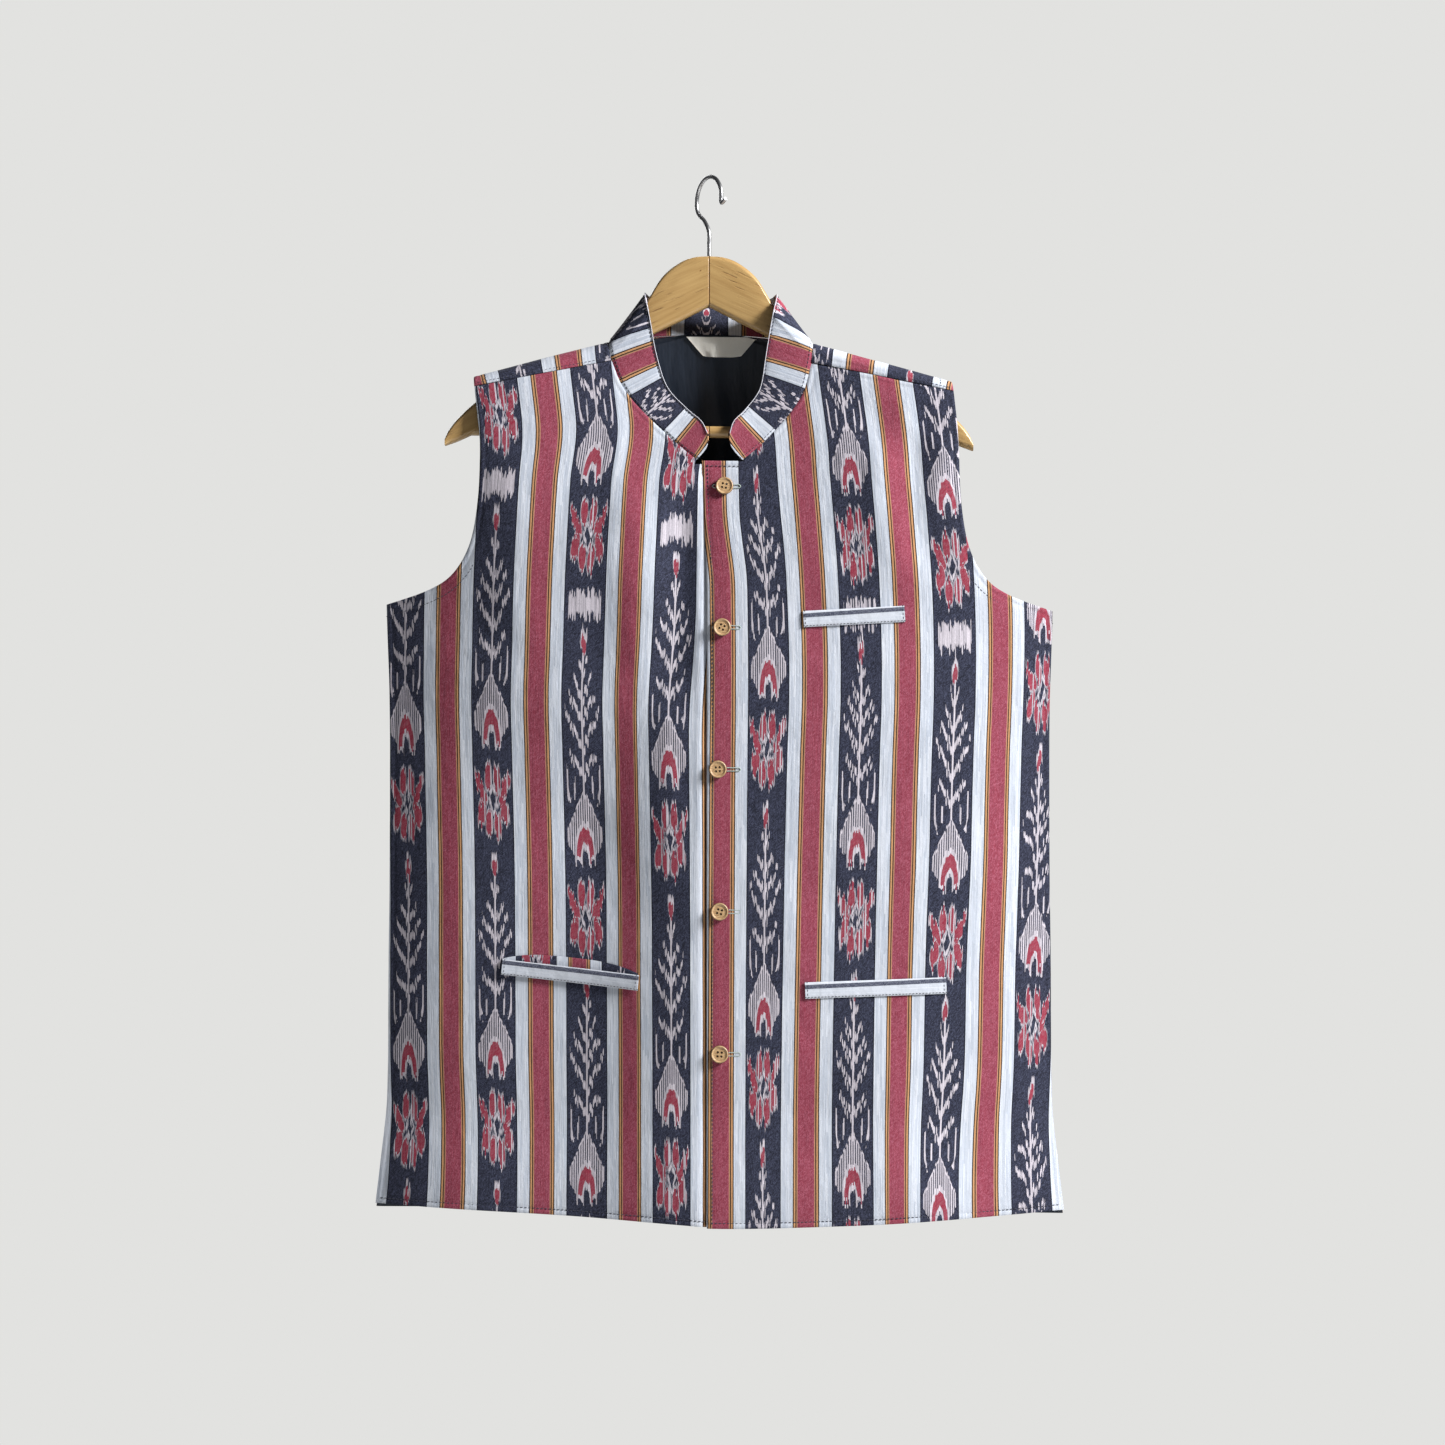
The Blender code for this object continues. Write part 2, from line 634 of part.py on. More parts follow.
def make_back():
    """The back panel with the strips that come forward over the shoulders."""
    neck = neck_arcs(NECK[: YOKE_SEAM_ROW + 1], CURVE_STEPS)
    yoke_end = arc_on(1, SHOULDER_END, YOKE_SEAM_END_Z)
    shoulder_end = [Vector((SHOULDER_END, arc)) for arc in [yoke_end] + RIDGE_ARCS[::-1]]
    half = neck + shoulder_end
    half += [Vector((p.x, arc_on(-1, p.x, p.y))) for p in armhole_edge()]
    bottom = back_hem_z(CHEST_HALF)
    half += [Vector((p.x, arc_on(-1, p.x, p.y))) for p in side_edge(bottom)[:-1]]
    for i in range(HEM_COLUMNS + 1):
        x = CHEST_HALF * (1.0 - i / HEM_COLUMNS)
        half.append(Vector((x, arc_on(-1, x, back_hem_z(x)))))
    make_panel("back_panel", mirrored(half), back_point, -1, STRIPE_CLOTH,
               columns=[0.0], rows=RIDGE_ARCS)


def make_lining():
    """The back lining, a thinner wall just inside the back."""
    clear = RIDGE_ARCS[-1] + LINING_EDGE_INSET
    neck = neck_arcs(NECK[: RIDGE_ROW + 1], CURVE_STEPS)
    neck = [p for p in neck if p.x < NECK_HALF - LINING_EDGE_INSET]
    neck = [Vector((p.x, min(p.y - LINING_GAP, -clear))) for p in neck]
    inset_end = SHOULDER_END - LINING_EDGE_INSET
    shoulder = [Vector((inset_end, -clear))]
    armhole = []
    for point in armhole_edge()[2:]:
        x = min(point.x - LINING_EDGE_INSET, CHEST_HALF - LINING_SIDE_INSET)
        armhole.append(Vector((x, arc_on(-1, x, point.y - LINING_EDGE_INSET))))
    armhole = [p for i, p in enumerate(armhole) if i == 0 or p.x > armhole[i - 1].x or p.x < inset_end]
    side = CHEST_HALF - LINING_SIDE_INSET
    half = neck + shoulder + armhole
    half += [Vector((side, arc_on(-1, side, LINING_HEM_Z)))]
    half += [Vector((0.0, arc_on(-1, 0.0, LINING_HEM_Z)))]
    inset = CLOTH + LINING_GAP
    make_panel("back_lining", mirrored(half), plain_back_point, -1, LINING, LINING_CLOTH, inset,
               coarser=LINING_COARSER, columns=[0.0])


def make_collar():
    """The standing band, from one front end round the back of the neck to the other."""
    seam = neck_arcs(NECK, COLLAR_STEPS_PER_ROW)
    tops = spline([Vector((row.top_x, row.top_y, row.top_z)) for row in NECK], COLLAR_STEPS_PER_ROW)
    count = len(seam)
    stations = [-i for i in range(count - 1, 0, -1)] + list(range(count))

    def place(station, v):
        side = -1.0 if station < 0 else 1.0
        index = abs(station)
        foot = back_point(side * seam[index].x, seam[index].y)
        top = tops[index]
        top = hang(side * top.x, top.y, top.z)
        foot += (top - foot).normalized() * COLLAR_FOOT_GAP
        first, spread = COLLAR_BULGE_STATIONS
        bulge = COLLAR_END_BULGE * smooth_step((index - count + first) / spread) * math.sin(math.pi * v)
        return foot.lerp(top, v) - Vector((side * bulge, 0.0, 0.0))

    grid = [[place(s, row / COLLAR_ROWS) for row in range(COLLAR_ROWS + 1)] for s in stations]
    outer, inner, faces = [], [], []
    wide, high = len(grid), COLLAR_ROWS + 1
    for i in range(wide):
        for j in range(high):
            along = grid[min(i + 1, wide - 1)][j] - grid[max(i - 1, 0)][j]
            up = grid[i][min(j + 1, high - 1)] - grid[i][max(j - 1, 0)]
            normal = along.cross(up).normalized()
            outer.append(grid[i][j])
            inner.append(grid[i][j] + normal * COLLAR_CLOTH)
    for i in range(wide - 1):
        for j in range(high - 1):
            a, b = i * high + j, (i + 1) * high + j
            faces += [(a, b, b + 1), (a, b + 1, a + 1)]
    return close_wall("collar", outer, inner, faces, STRIPE_CLOTH)


def make_strip(row, surface, thickness, gap, finish):
    """A welt or a facing: a strip laid on a front, its upper edge lifted by the row's lift."""
    outer, inner, faces = [], [], []
    run = Vector((row.x1 - row.x0, row.z1 - row.z0))
    up = Vector((-run.y, run.x)).normalized()
    if up.y < 0:
        up = -up
    for i in range(WELT_COLUMNS + 1):
        way = i / WELT_COLUMNS
        for height in WELT_HEIGHTS:
            flat = Vector((row.x0, row.z0)) + run * way + up * height * row.height
            normal = outward_normal(surface, flat.x, flat.y, 1)
            lift = gap + row.lift * (height + 0.5) * math.sin(math.pi * way)
            base = surface(flat.x, flat.y) + normal * lift
            inner.append(base)
            outer.append(base + normal * thickness)
    step = len(WELT_HEIGHTS)
    for i in range(WELT_COLUMNS):
        for j in range(step - 1):
            a, b = i * step + j, (i + 1) * step + j
            faces += [(a, b, b + 1), (a, b + 1, a + 1)]
    return close_wall(row.name, outer, inner, faces, finish)


def make_pockets():
    """The three welts, and the facing that shows behind the gaping one."""
    make_strip(FACING, under_front_point, FACING_CLOTH, LAID_GAP, STRIPE_CLOTH)
    for row in WELTS:
        surface = front_point if row.x0 > 0 else under_front_point
        gap = LAID_GAP if row.x0 > 0 else 2.0 * LAID_GAP + FACING_CLOTH
        make_strip(row, surface, WELT_CLOTH, gap, PALE_CLOTH)


def make_label():
    """The blank label on the lining, below the back neck seam."""
    outer, inner, faces = [], [], []
    columns, rows = LABEL_COLUMNS, LABEL_ROWS
    inset = CLOTH + LINING_GAP + LINING_CLOTH + LAID_GAP
    for i in range(columns + 1):
        for j in range(rows + 1):
            down = j / rows
            width = LABEL_TOP_WIDTH + (LABEL_BOTTOM_WIDTH - LABEL_TOP_WIDTH) * down
            x = LABEL_CENTRE_X + width * (i / columns - 0.5)
            arc = arc_on(-1, x, LABEL_TOP_Z - LABEL_HEIGHT * down)
            normal = outward_normal(plain_back_point, x, arc, -1)
            base = plain_back_point(x, arc) - normal * inset
            outer.append(base)
            inner.append(base - normal * LABEL_CLOTH)
    for i in range(columns):
        for j in range(rows):
            a, b = i * (rows + 1) + j, (i + 1) * (rows + 1) + j
            faces += [(a, b, b + 1), (a, b + 1, a + 1)]
    return close_wall("neck_label", outer, inner, faces, LABEL)


def make_button(number):
    """A turned button with a raised rim, laid on the lap."""
    x = BUTTON_X[number]
    z = BUTTON_TOP_Z - BUTTON_PITCH * number
    normal = outward_normal(front_point, x, z, 1)
    seat = front_point(x, z) + normal * SEAM_GAP
    across = Vector((0.0, 0.0, 1.0)).cross(normal).normalized()
    up = normal.cross(across)
    data = bmesh.new()
    rings = []
    for radius, height in BUTTON_PROFILE:
        ring = []
        for side in range(BUTTON_SIDES):
            turn = 2.0 * math.pi * side / BUTTON_SIDES
            spoke = across * math.cos(turn) + up * math.sin(turn)
            ring.append(data.verts.new(seat + spoke * radius + normal * height))
        rings.append(ring)
    for low, high in zip(rings, rings[1:]):
        for side in range(BUTTON_SIDES):
            after = (side + 1) % BUTTON_SIDES
            data.faces.new((low[side], low[after], high[after], high[side]))
    data.faces.new(reversed(rings[0]))
    data.faces.new(rings[-1])
    bmesh.ops.recalc_face_normals(data, faces=data.faces)
    return finish_object(f"button_{number + 1}", data, BUTTON_WOOD)


def arm_section(row, side):
    """One rounded cross-section of a hanger arm, as points round it."""
    middle, half_height = 0.5 * (row.top + row.bottom), 0.5 * (row.top - row.bottom)
    half_thick = 0.5 * ARM_THICKNESS
    rounding = min(ARM_ROUNDING, ARM_ROUNDING_SHARE * half_height)
    points = []
    for corner in range(4):
        sign_y = 1 if corner in (0, 3) else -1
        sign_z = 1 if corner in (0, 1) else -1
        for step in range(ARM_SIDES // 4):
            turn = math.radians(90.0 * corner + 90.0 * step / (ARM_SIDES // 4 - 1))
            y = sign_y * (half_thick - rounding) + rounding * math.cos(turn)
            z = sign_z * (half_height - rounding) + rounding * math.sin(turn)
            x = side * row.x
            points.append(Vector((x, middle_y(row.x) + y, middle + z - LEAN * x)))
    return points


def make_arm(name, side):
    """One mitred half of the hanger, with the hole that takes the bar."""
    data = bmesh.new()
    rings = [[data.verts.new(point) for point in arm_section(row, side)] for row in ARM]
    for low, high in zip(rings, rings[1:]):
        for i in range(ARM_SIDES):
            after = (i + 1) % ARM_SIDES
            data.faces.new((low[i], low[after], high[after], high[i]))
    data.faces.new(rings[0])
    data.faces.new(reversed(rings[-1]))
    bmesh.ops.recalc_face_normals(data, faces=data.faces)
    arm = finish_object(name, data, HANGER_WOOD)
    cutter = make_rod(f"{name}_cutter", BAR_RADIUS + SEAM_GAP, BAR_END)
    cutter.hide_render = True
    cutter.display_type = "WIRE"
    hole = arm.modifiers.new("bar_hole", "BOOLEAN")
    hole.operation = "DIFFERENCE"
    hole.object = cutter
    return arm


def make_rod(name, radius, half_length):
    """A round rod across the hanger, where the bar runs."""
    data = bmesh.new()
    rings = []
    for end in (-1.0, 1.0):
        x = end * half_length
        ring = []
        for side in range(BAR_SIDES):
            turn = 2.0 * math.pi * side / BAR_SIDES
            y = middle_y(BAR_END) + radius * math.cos(turn)
            z = BAR_Z + radius * math.sin(turn) - LEAN * x
            ring.append(data.verts.new((x, y, z)))
        rings.append(ring)
    for side in range(BAR_SIDES):
        after = (side + 1) % BAR_SIDES
        data.faces.new((rings[0][side], rings[0][after], rings[1][after], rings[1][side]))
    data.faces.new(rings[0])
    data.faces.new(reversed(rings[1]))
    bmesh.ops.recalc_face_normals(data, faces=data.faces)
    return finish_object(name, data, HANGER_WOOD)


def make_hook():
    """The wire hook: its neck, its bend and its short turned-out tip."""
    centre_z = WIRE_RADIUS - HOOK_RADIUS
    bend = []
    for step in range(HOOK_ARC_STEPS + 1):
        turn = HOOK_ARC[0] + (HOOK_ARC[1] - HOOK_ARC[0]) * step / HOOK_ARC_STEPS
        bend.append(HookRow(HOOK_RADIUS * math.cos(turn), centre_z + HOOK_RADIUS * math.sin(turn)))
    route = []
    for row in HOOK_NECK + tuple(bend) + (HOOK_TIP,):
        across = row.across
        route.append(Vector((across * math.cos(HOOK_TURN), across * math.sin(HOOK_TURN), row.z)))
    curve = bpy.data.curves.new("hanger_hook", "CURVE")
    curve.dimensions = "3D"
    curve.bevel_depth = WIRE_RADIUS
    curve.bevel_resolution = HOOK_SIDES // 4
    curve.use_fill_caps = True
    line = curve.splines.new("POLY")
    points = spline(route, CURVE_STEPS)
    line.points.add(len(points) - 1)
    for point, place in zip(line.points, points):
        point.co = (*place, 1.0)
    curve.materials.append(material(STEEL))
    hook = bpy.data.objects.new("hanger_hook", curve)
    bpy.context.scene.collection.objects.link(hook)
    return hook


def main():
    """Builds the jacket and its hanger."""
    clear_scene()
    make_back()
    make_lining()
    make_fronts()
    make_collar()
    make_label()
    make_pockets()
    for number in range(len(BUTTON_X)):
        make_button(number)
    make_arm("hanger_arm_left", 1.0)
    make_arm("hanger_arm_right", -1.0)
    make_rod("hanger_bar", BAR_RADIUS, BAR_END - SEAM_GAP)
    make_hook()


main()
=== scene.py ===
"""The looks of a sleeveless jacket with a band collar, on its wooden hanger.

Metres, +Z up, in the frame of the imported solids: the origin is where the hook bears, the jacket's
front faces -Y and the wearer's left side is +X. Every cloth piece is cut flat in the cloth's own
coordinates, laid on a surface and given its thickness inwards. The surfaces are those of the solids
with more and softer folds. A point of a cut is (across, along): along is the height on the fronts,
and on the back the way from the shoulder ridge along the cloth, negative down the back.
"""

import logging
import math
from dataclasses import dataclass
from enum import Enum
from typing import Callable, Sequence

import bpy
import numpy as np
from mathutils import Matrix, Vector, geometry, noise


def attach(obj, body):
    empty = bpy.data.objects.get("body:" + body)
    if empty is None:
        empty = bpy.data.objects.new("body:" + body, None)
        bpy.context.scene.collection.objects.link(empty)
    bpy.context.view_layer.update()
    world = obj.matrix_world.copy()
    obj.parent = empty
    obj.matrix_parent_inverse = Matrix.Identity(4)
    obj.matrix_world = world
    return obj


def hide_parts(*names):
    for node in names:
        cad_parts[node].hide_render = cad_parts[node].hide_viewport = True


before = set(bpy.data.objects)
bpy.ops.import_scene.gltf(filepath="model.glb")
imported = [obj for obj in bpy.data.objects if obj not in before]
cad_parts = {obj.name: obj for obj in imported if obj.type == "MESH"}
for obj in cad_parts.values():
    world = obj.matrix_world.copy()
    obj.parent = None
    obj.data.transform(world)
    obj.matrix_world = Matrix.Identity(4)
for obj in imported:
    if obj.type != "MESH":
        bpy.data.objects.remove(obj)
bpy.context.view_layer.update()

LOG = logging.getLogger("jacket")
ROOT = "root"
MILLIMETRES = 1000.0
Array = np.ndarray
Colour = tuple[float, ...]
Material = bpy.types.Material
Object = bpy.types.Object
Socket = bpy.types.NodeSocket
Surface = Callable[[Array], Array]


class Face(Enum):
    """Which way a sheet of the body looks."""

    FRONT = 1.0
    BACK = -1.0


class Side(Enum):
    """The wearer's side of the jacket."""

    LEFT = 1.0
    RIGHT = -1.0


def srgb(red: int, green: int, blue: int) -> tuple[float, float, float, float]:
    """Turns a colour in display numbers from 0 to 255 into a linear colour.

    Args:
        red: The red number.
        green: The green number.
        blue: The blue number.

    Returns:
        The linear colour, opaque.
    """
    channels = [channel / 255.0 for channel in (red, green, blue)]
    linear = [c / 12.92 if c <= 0.04045 else ((c + 0.055) / 1.055) ** 2.4 for c in channels]
    return (*linear, 1.0)


def smooth_step(value: Array) -> Array:
    """Rises smoothly from 0 below 0 to 1 above 1.

    Args:
        value: The numbers to read it at.

    Returns:
        The risen numbers.
    """
    clamped = np.clip(value, 0.0, 1.0)
    return clamped * clamped * (3.0 - 2.0 * clamped)


def read_table(rows: Sequence[Sequence[float]], column: int, at: Array) -> Array:
    """Reads a column of a table between its rows, on a smooth curve.

    Args:
        rows: The table, with its key in the first column.
        column: The column to read.
        at: The keys to read it at.

    Returns:
        The values at those keys.
    """
    ordered = sorted(rows)
    keys = np.array([row[0] for row in ordered])
    values = np.array([row[column] for row in ordered])
    at = np.clip(at, keys[0], keys[-1])
    order = np.arange(len(keys))
    low, high = np.maximum(order - 1, 0), np.minimum(order + 1, len(keys) - 1)
    slopes = (values[high] - values[low]) / (keys[high] - keys[low])
    index = np.clip(np.searchsorted(keys, at, side="right") - 1, 0, len(keys) - 2)
    span = keys[index + 1] - keys[index]
    t = (at - keys[index]) / span
    return (
        (2 * t**3 - 3 * t**2 + 1) * values[index]
        + (t**3 - 2 * t**2 + t) * slopes[index] * span
        + (3 * t**2 - 2 * t**3) * values[index + 1]
        + (t**3 - t**2) * slopes[index + 1] * span
    )


def spline(points: Array, steps: int) -> Array:
    """Draws a smooth curve through points.

    Args:
        points: The points, one to a row.
        steps: How many stretches the curve has between two of them.

    Returns:
        The points of the curve.
    """
    points = np.asarray(points, float)
    curve = []
    for i in range(len(points) - 1):
        before, start = points[max(i - 1, 0)], points[i]
        end, after = points[i + 1], points[min(i + 2, len(points) - 1)]
        for step in range(steps):
            t = step / steps
            curve.append(
                0.5
                * (
                    2 * start
                    + (end - before) * t
                    + (2 * before - 5 * start + 4 * end - after) * t**2
                    + (3 * start - before - 3 * end + after) * t**3
                )
            )
    curve.append(points[-1])
    return np.array(curve)


def resample(points: Array, step: float, closed: bool = False) -> Array:
    """Spreads points evenly along a line and keeps its corners.

    Args:
        points: The points of the line.
        step: The longest gap between two points.
        closed: Whether the line runs back to its start.

    Returns:
        The points of the finer line.
    """
    ring = np.vstack([points, points[:1]]) if closed else points
    fine = []
    for start, end in zip(ring[:-1], ring[1:]):
        parts = max(1, math.ceil(float(np.linalg.norm(end - start)) / step))
        fine += [start + (end - start) * part / parts for part in range(parts)]
    if not closed:
        fine.append(ring[-1])
    return np.array(fine)


def pair(first: Array, second: Array) -> Array:
    """Sets two rows of numbers side by side."""
    return np.stack([first, second], axis=1)


def unit(vectors: Array) -> Array:
    """Returns vectors, one to a row, with the length of 1."""
    return vectors / np.linalg.norm(vectors, axis=1)[:, None]


def is_inside(points: Array, outline: Array) -> Array:
    """Tells which flat points lie inside an outline.

    Args:
        points: The points to test.
        outline: The outline's corners.

    Returns:
        True or false for each point.
    """
    inside = np.zeros(len(points), bool)
    for start, end in zip(outline, np.roll(outline, -1, axis=0)):
        if start[1] == end[1]:
            continue
        spans = (start[1] > points[:, 1]) != (end[1] > points[:, 1])
        cross = start[0] + (points[:, 1] - start[1]) * (end[0] - start[0]) / (end[1] - start[1])
        inside ^= spans & (points[:, 0] < cross)
    return inside


def edge_distance(points: Array, outline: Array) -> Array:
    """Measures how far flat points lie from the nearest edge of an outline.

    Args:
        points: The points to measure from.
        outline: The outline's corners.

    Returns:
        The distances.
    """
    nearest = np.full(len(points), np.inf)
    for start, end in zip(outline, np.roll(outline, -1, axis=0)):
        run = end - start
        length = float(run @ run)
        if length == 0.0:
            continue
        way = np.clip((points - start) @ run / length, 0.0, 1.0)
        gap = points - start - way[:, None] * run
        nearest = np.minimum(nearest, np.hypot(gap[:, 0], gap[:, 1]))
    return nearest


def inset_line(points: Array, distance: float) -> Array:
    """Moves a line sideways into the cloth that lies on its right.

    Args:
        points: The points of the line, in its direction.
        distance: How far it moves.

    Returns:
        The moved points.
    """
    run = np.gradient(points, axis=0)
    normal = pair(run[:, 1], -run[:, 0])
    return points + distance * unit(normal)


def grid_faces(columns: int, rows: int) -> Array:
    """Fills a grid of points with triangles.

    Args:
        columns: How many columns of points it has.
        rows: How many points each column has, one after another.

    Returns:
        The triangles.
    """
    index = np.arange(columns * rows).reshape(columns, rows)
    a, b = index[:-1, :-1].ravel(), index[1:, :-1].ravel()
    c, d = index[1:, 1:].ravel(), index[:-1, 1:].ravel()
    return np.vstack([np.stack([a, b, c], 1), np.stack([a, c, d], 1)])


@dataclass(frozen=True)
class Cut:
    """A flat piece of cloth, filled with triangles.

    Attributes:
        points: Where its points lie in the cloth.
        faces: Its triangles, turned anticlockwise.
        edge: How far each point lies from the cut's edge.
    """

    points: Array
    faces: Array
    edge: Array


def cut_cloth(outline: Array, step: float, rings: Sequence[float] = (), rows: Sequence[float] = ()) -> Cut:
    """Fills an outline with points on even columns and rows, and on rings along its edge.

    Args:
        outline: The outline's corners, with the cloth on the right of its direction.
        step: The gap between columns and between rows.
        rings: How far inside the edge the rings run.
        rows: Further rows, that even rows keep clear of.

    Returns:
        The filled cut.
    """
    edge = resample(outline, step, closed=True)
    low, high = edge.min(0), edge.max(0)
    columns = np.linspace(low[0], high[0], max(2, round((high[0] - low[0]) / step)) + 1)
    even = np.linspace(low[1], high[1], max(2, round((high[1] - low[1]) / step)) + 1)
    rows = np.array(rows)
    if len(rows):
        even = even[np.abs(even[:, None] - rows[None, :]).min(1) > 0.45 * step]
    lines = np.concatenate([even, rows])
    grid = np.stack(np.meshgrid(columns, lines), -1).reshape(-1, 2)
    grid = grid[is_inside(grid, edge)]
    margin = (max(rings) if len(rings) else 0.0) + 0.45 * step
    inner = [grid[edge_distance(grid, edge) > margin]]
    loop = np.vstack([edge[-1:], edge, edge[:1]])
    for ring in rings:
        candidates = inset_line(loop, ring)[1:-1]
        candidates = candidates[is_inside(candidates, edge)]
        inner.append(candidates[edge_distance(candidates, edge) > 0.96 * ring])
    every = np.vstack([edge] + inner)
    found, _, faces, _, _, _ = geometry.delaunay_2d_cdt(
        [Vector(point) for point in every], [], [list(range(len(edge)))], 1, 1e-7
    )
    points = np.array([tuple(point) for point in found])
    faces = np.array([tuple(face) for face in faces])
    first, second, third = (points[faces[:, i]] for i in range(3))
    side, other = second - first, third - first
    turned = side[:, 0] * other[:, 1] - side[:, 1] * other[:, 0] < 0.0
    faces[turned] = faces[turned][:, ::-1]
    return Cut(points, faces, edge_distance(points, edge))


@dataclass(frozen=True)
class Fold:
    """A soft fold pressed in or out of one face, from one end to the other."""

    face: Face
    x0: float
    z0: float
    x1: float
    z1: float
    width: float
    lift: float

    def height(self, x: Array, z: Array) -> Array:
        """Returns how far the fold lifts the cloth at places on its face."""
        run = np.array([self.x1 - self.x0, self.z1 - self.z0])
        length = float(np.hypot(*run))
        off_x, off_z = x - self.x0, z - self.z0
        way = (off_x * run[0] + off_z * run[1]) / length**2
        distance = (off_x * run[1] - off_z * run[0]) / length
        fade = smooth_step(way / 0.3) * smooth_step((1.15 - way) / 0.3)
        return self.lift * fade * np.exp(-((distance / self.width) ** 2))


def folds_on(face: Face, *rows: tuple[float, ...]) -> tuple[Fold, ...]:
    """Returns the folds of one face, each from a row of its numbers."""
    return tuple(Fold(face, *row) for row in rows)


@dataclass(frozen=True)
class Drape:
    """The surfaces that the jacket's cloth lies on.

    A row of body is the height, the half width, and how far the front and the back stand off
    the plane of the side seams.
    """

    chest_half: float = 0.2814
    side_power: float = 3.0
    front_power: float = 1.7
    front_power_top_z: float = -0.240
    front_power_bottom_z: float = -0.400
    neck_half: float = 0.0865
    neck_point_z: float = -0.1395
    shoulder_slope: float = 0.277
    ridge_radius: float = 0.009
    contour: float = 0.016
    contour_reach: float = 0.260
    seam_gap: float = 0.0003
    slit_top_z: float = -0.781
    slit_spread: float = 0.007
    hem_side_z: float = -0.8695
    neck_centre: float = 0.0015
    body_centre: float = 0.009
    shift_top_z: float = -0.140
    shift_bottom_z: float = -0.240
    lean: float = 0.010
    underlap_recess: float = 0.0050
    underlap_start: float = -0.0152
    underlap_end: float = -0.0085
    body: tuple[tuple[float, float, float, float], ...] = (
        (-0.110, 0.2814, 0.0120, 0.0150), (-0.140, 0.2814, 0.0130, 0.0150), (-0.180, 0.2814, 0.0175, 0.0170),
        (-0.240, 0.2814, 0.0270, 0.0200), (-0.300, 0.2814, 0.0340, 0.0220), (-0.365, 0.2814, 0.0390, 0.0240),
        (-0.443, 0.2789, 0.0420, 0.0255), (-0.570, 0.2787, 0.0450, 0.0280), (-0.662, 0.2797, 0.0470, 0.0300),
        (-0.781, 0.2810, 0.0500, 0.0330), (-0.830, 0.2857, 0.0515, 0.0340), (-0.885, 0.2920, 0.0530, 0.0350),
    )
    folds: tuple[Fold, ...] = folds_on(
        Face.FRONT,
        (-0.030, -0.250, -0.044, -0.440, 0.020, -0.0050), (-0.066, -0.240, -0.070, -0.420, 0.022, 0.0030),
        (0.122, -0.195, 0.150, -0.340, 0.020, 0.0035), (0.154, -0.200, 0.172, -0.330, 0.018, -0.0035),
        (-0.170, -0.215, -0.176, -0.390, 0.024, 0.0030), (-0.100, -0.430, -0.125, -0.940, 0.050, -0.0056),
        (-0.036, -0.560, -0.044, -0.920, 0.020, -0.0002), (0.130, -0.700, 0.150, -0.900, 0.036, 0.0050),
        (0.215, -0.760, 0.225, -0.900, 0.030, -0.0040), (0.138, -0.185, 0.118, -0.262, 0.010, -0.0016),
        (0.182, -0.190, 0.160, -0.250, 0.009, -0.0014), (0.196, -0.215, 0.176, -0.290, 0.010, 0.0012),
        (0.090, -0.5615, 0.168, -0.5635, 0.0022, -0.0005), (-0.046, -0.245, -0.052, -0.400, 0.009, 0.0018),
        (-0.022, -0.330, -0.028, -0.560, 0.008, -0.0014), (-0.090, -0.200, -0.078, -0.300, 0.012, 0.0012),
        (-0.192, -0.330, -0.150, -0.400, 0.014, 0.0014), (0.230, -0.380, 0.196, -0.470, 0.016, 0.0014),
        (0.060, -0.600, 0.066, -0.680, 0.014, 0.0012), (-0.164, -0.420, -0.174, -0.940, 0.070, -0.0130),
        (-0.084, -0.470, -0.094, -0.940, 0.040, -0.0030), (-0.096, -0.330, -0.104, -0.600, 0.030, -0.0034),
    ) + folds_on(
        Face.BACK,
        (-0.110, -0.260, -0.135, -0.860, 0.034, 0.0060), (0.105, -0.280, 0.140, -0.860, 0.034, 0.0055),
        (-0.020, -0.420, -0.030, -0.900, 0.030, 0.0040), (0.215, -0.460, 0.225, -0.860, 0.030, 0.0040),
        (-0.160, -0.180, -0.120, -0.330, 0.016, 0.0022), (0.160, -0.180, 0.125, -0.330, 0.016, 0.0022),
        (0.030, -0.200, 0.040, -0.480, 0.014, 0.0016), (-0.060, -0.190, -0.050, -0.420, 0.013, 0.0015),
        (0.200, -0.400, 0.120, -0.520, 0.016, 0.0016), (-0.200, -0.400, -0.130, -0.540, 0.016, 0.0016),
    )

    def middle_y(self, x: Array) -> Array:
        """Returns the depth of the side seams' plane, which the hanger's contour brings forward."""
        reach = np.minimum(np.abs(x) / self.contour_reach, 1.0)
        return -self.contour * np.sin(0.5 * np.pi * reach) ** 2

    def ridge_z(self, x: Array) -> Array:
        """Returns the height of the shoulder ridge."""
        return self.neck_point_z - self.shoulder_slope * (np.abs(x) - self.neck_half)

    def drop_of_arc(self, arc: Array) -> Array:
        """Returns the drop below the ridge at a way along the cloth from it."""
        quarter = 0.5 * np.pi * self.ridge_radius
        turned = self.ridge_radius * (1.0 - np.cos(arc / self.ridge_radius))
        straight = np.abs(arc) - quarter + self.ridge_radius
        return np.where(np.abs(arc) >= quarter, straight, turned)

    def arc_on(self, face: Face, x: Array, z: Array) -> Array:
        """Returns the way along the cloth from the ridge to a place given by face, x and z."""
        drop = self.ridge_z(x) - z
        share = np.clip(1.0 - drop / self.ridge_radius, -1.0, 1.0)
        turned = self.ridge_radius * np.arccos(share)
        straight = drop + (0.5 * np.pi - 1.0) * self.ridge_radius
        return face.value * np.where(drop >= self.ridge_radius, straight, turned)

    def fold_lift(self, face: Face, x: Array, z: Array) -> Array:
        """Returns the height of one face's folds."""
        return sum((fold.height(x, z) for fold in self.folds if fold.face is face), np.zeros(len(x)))

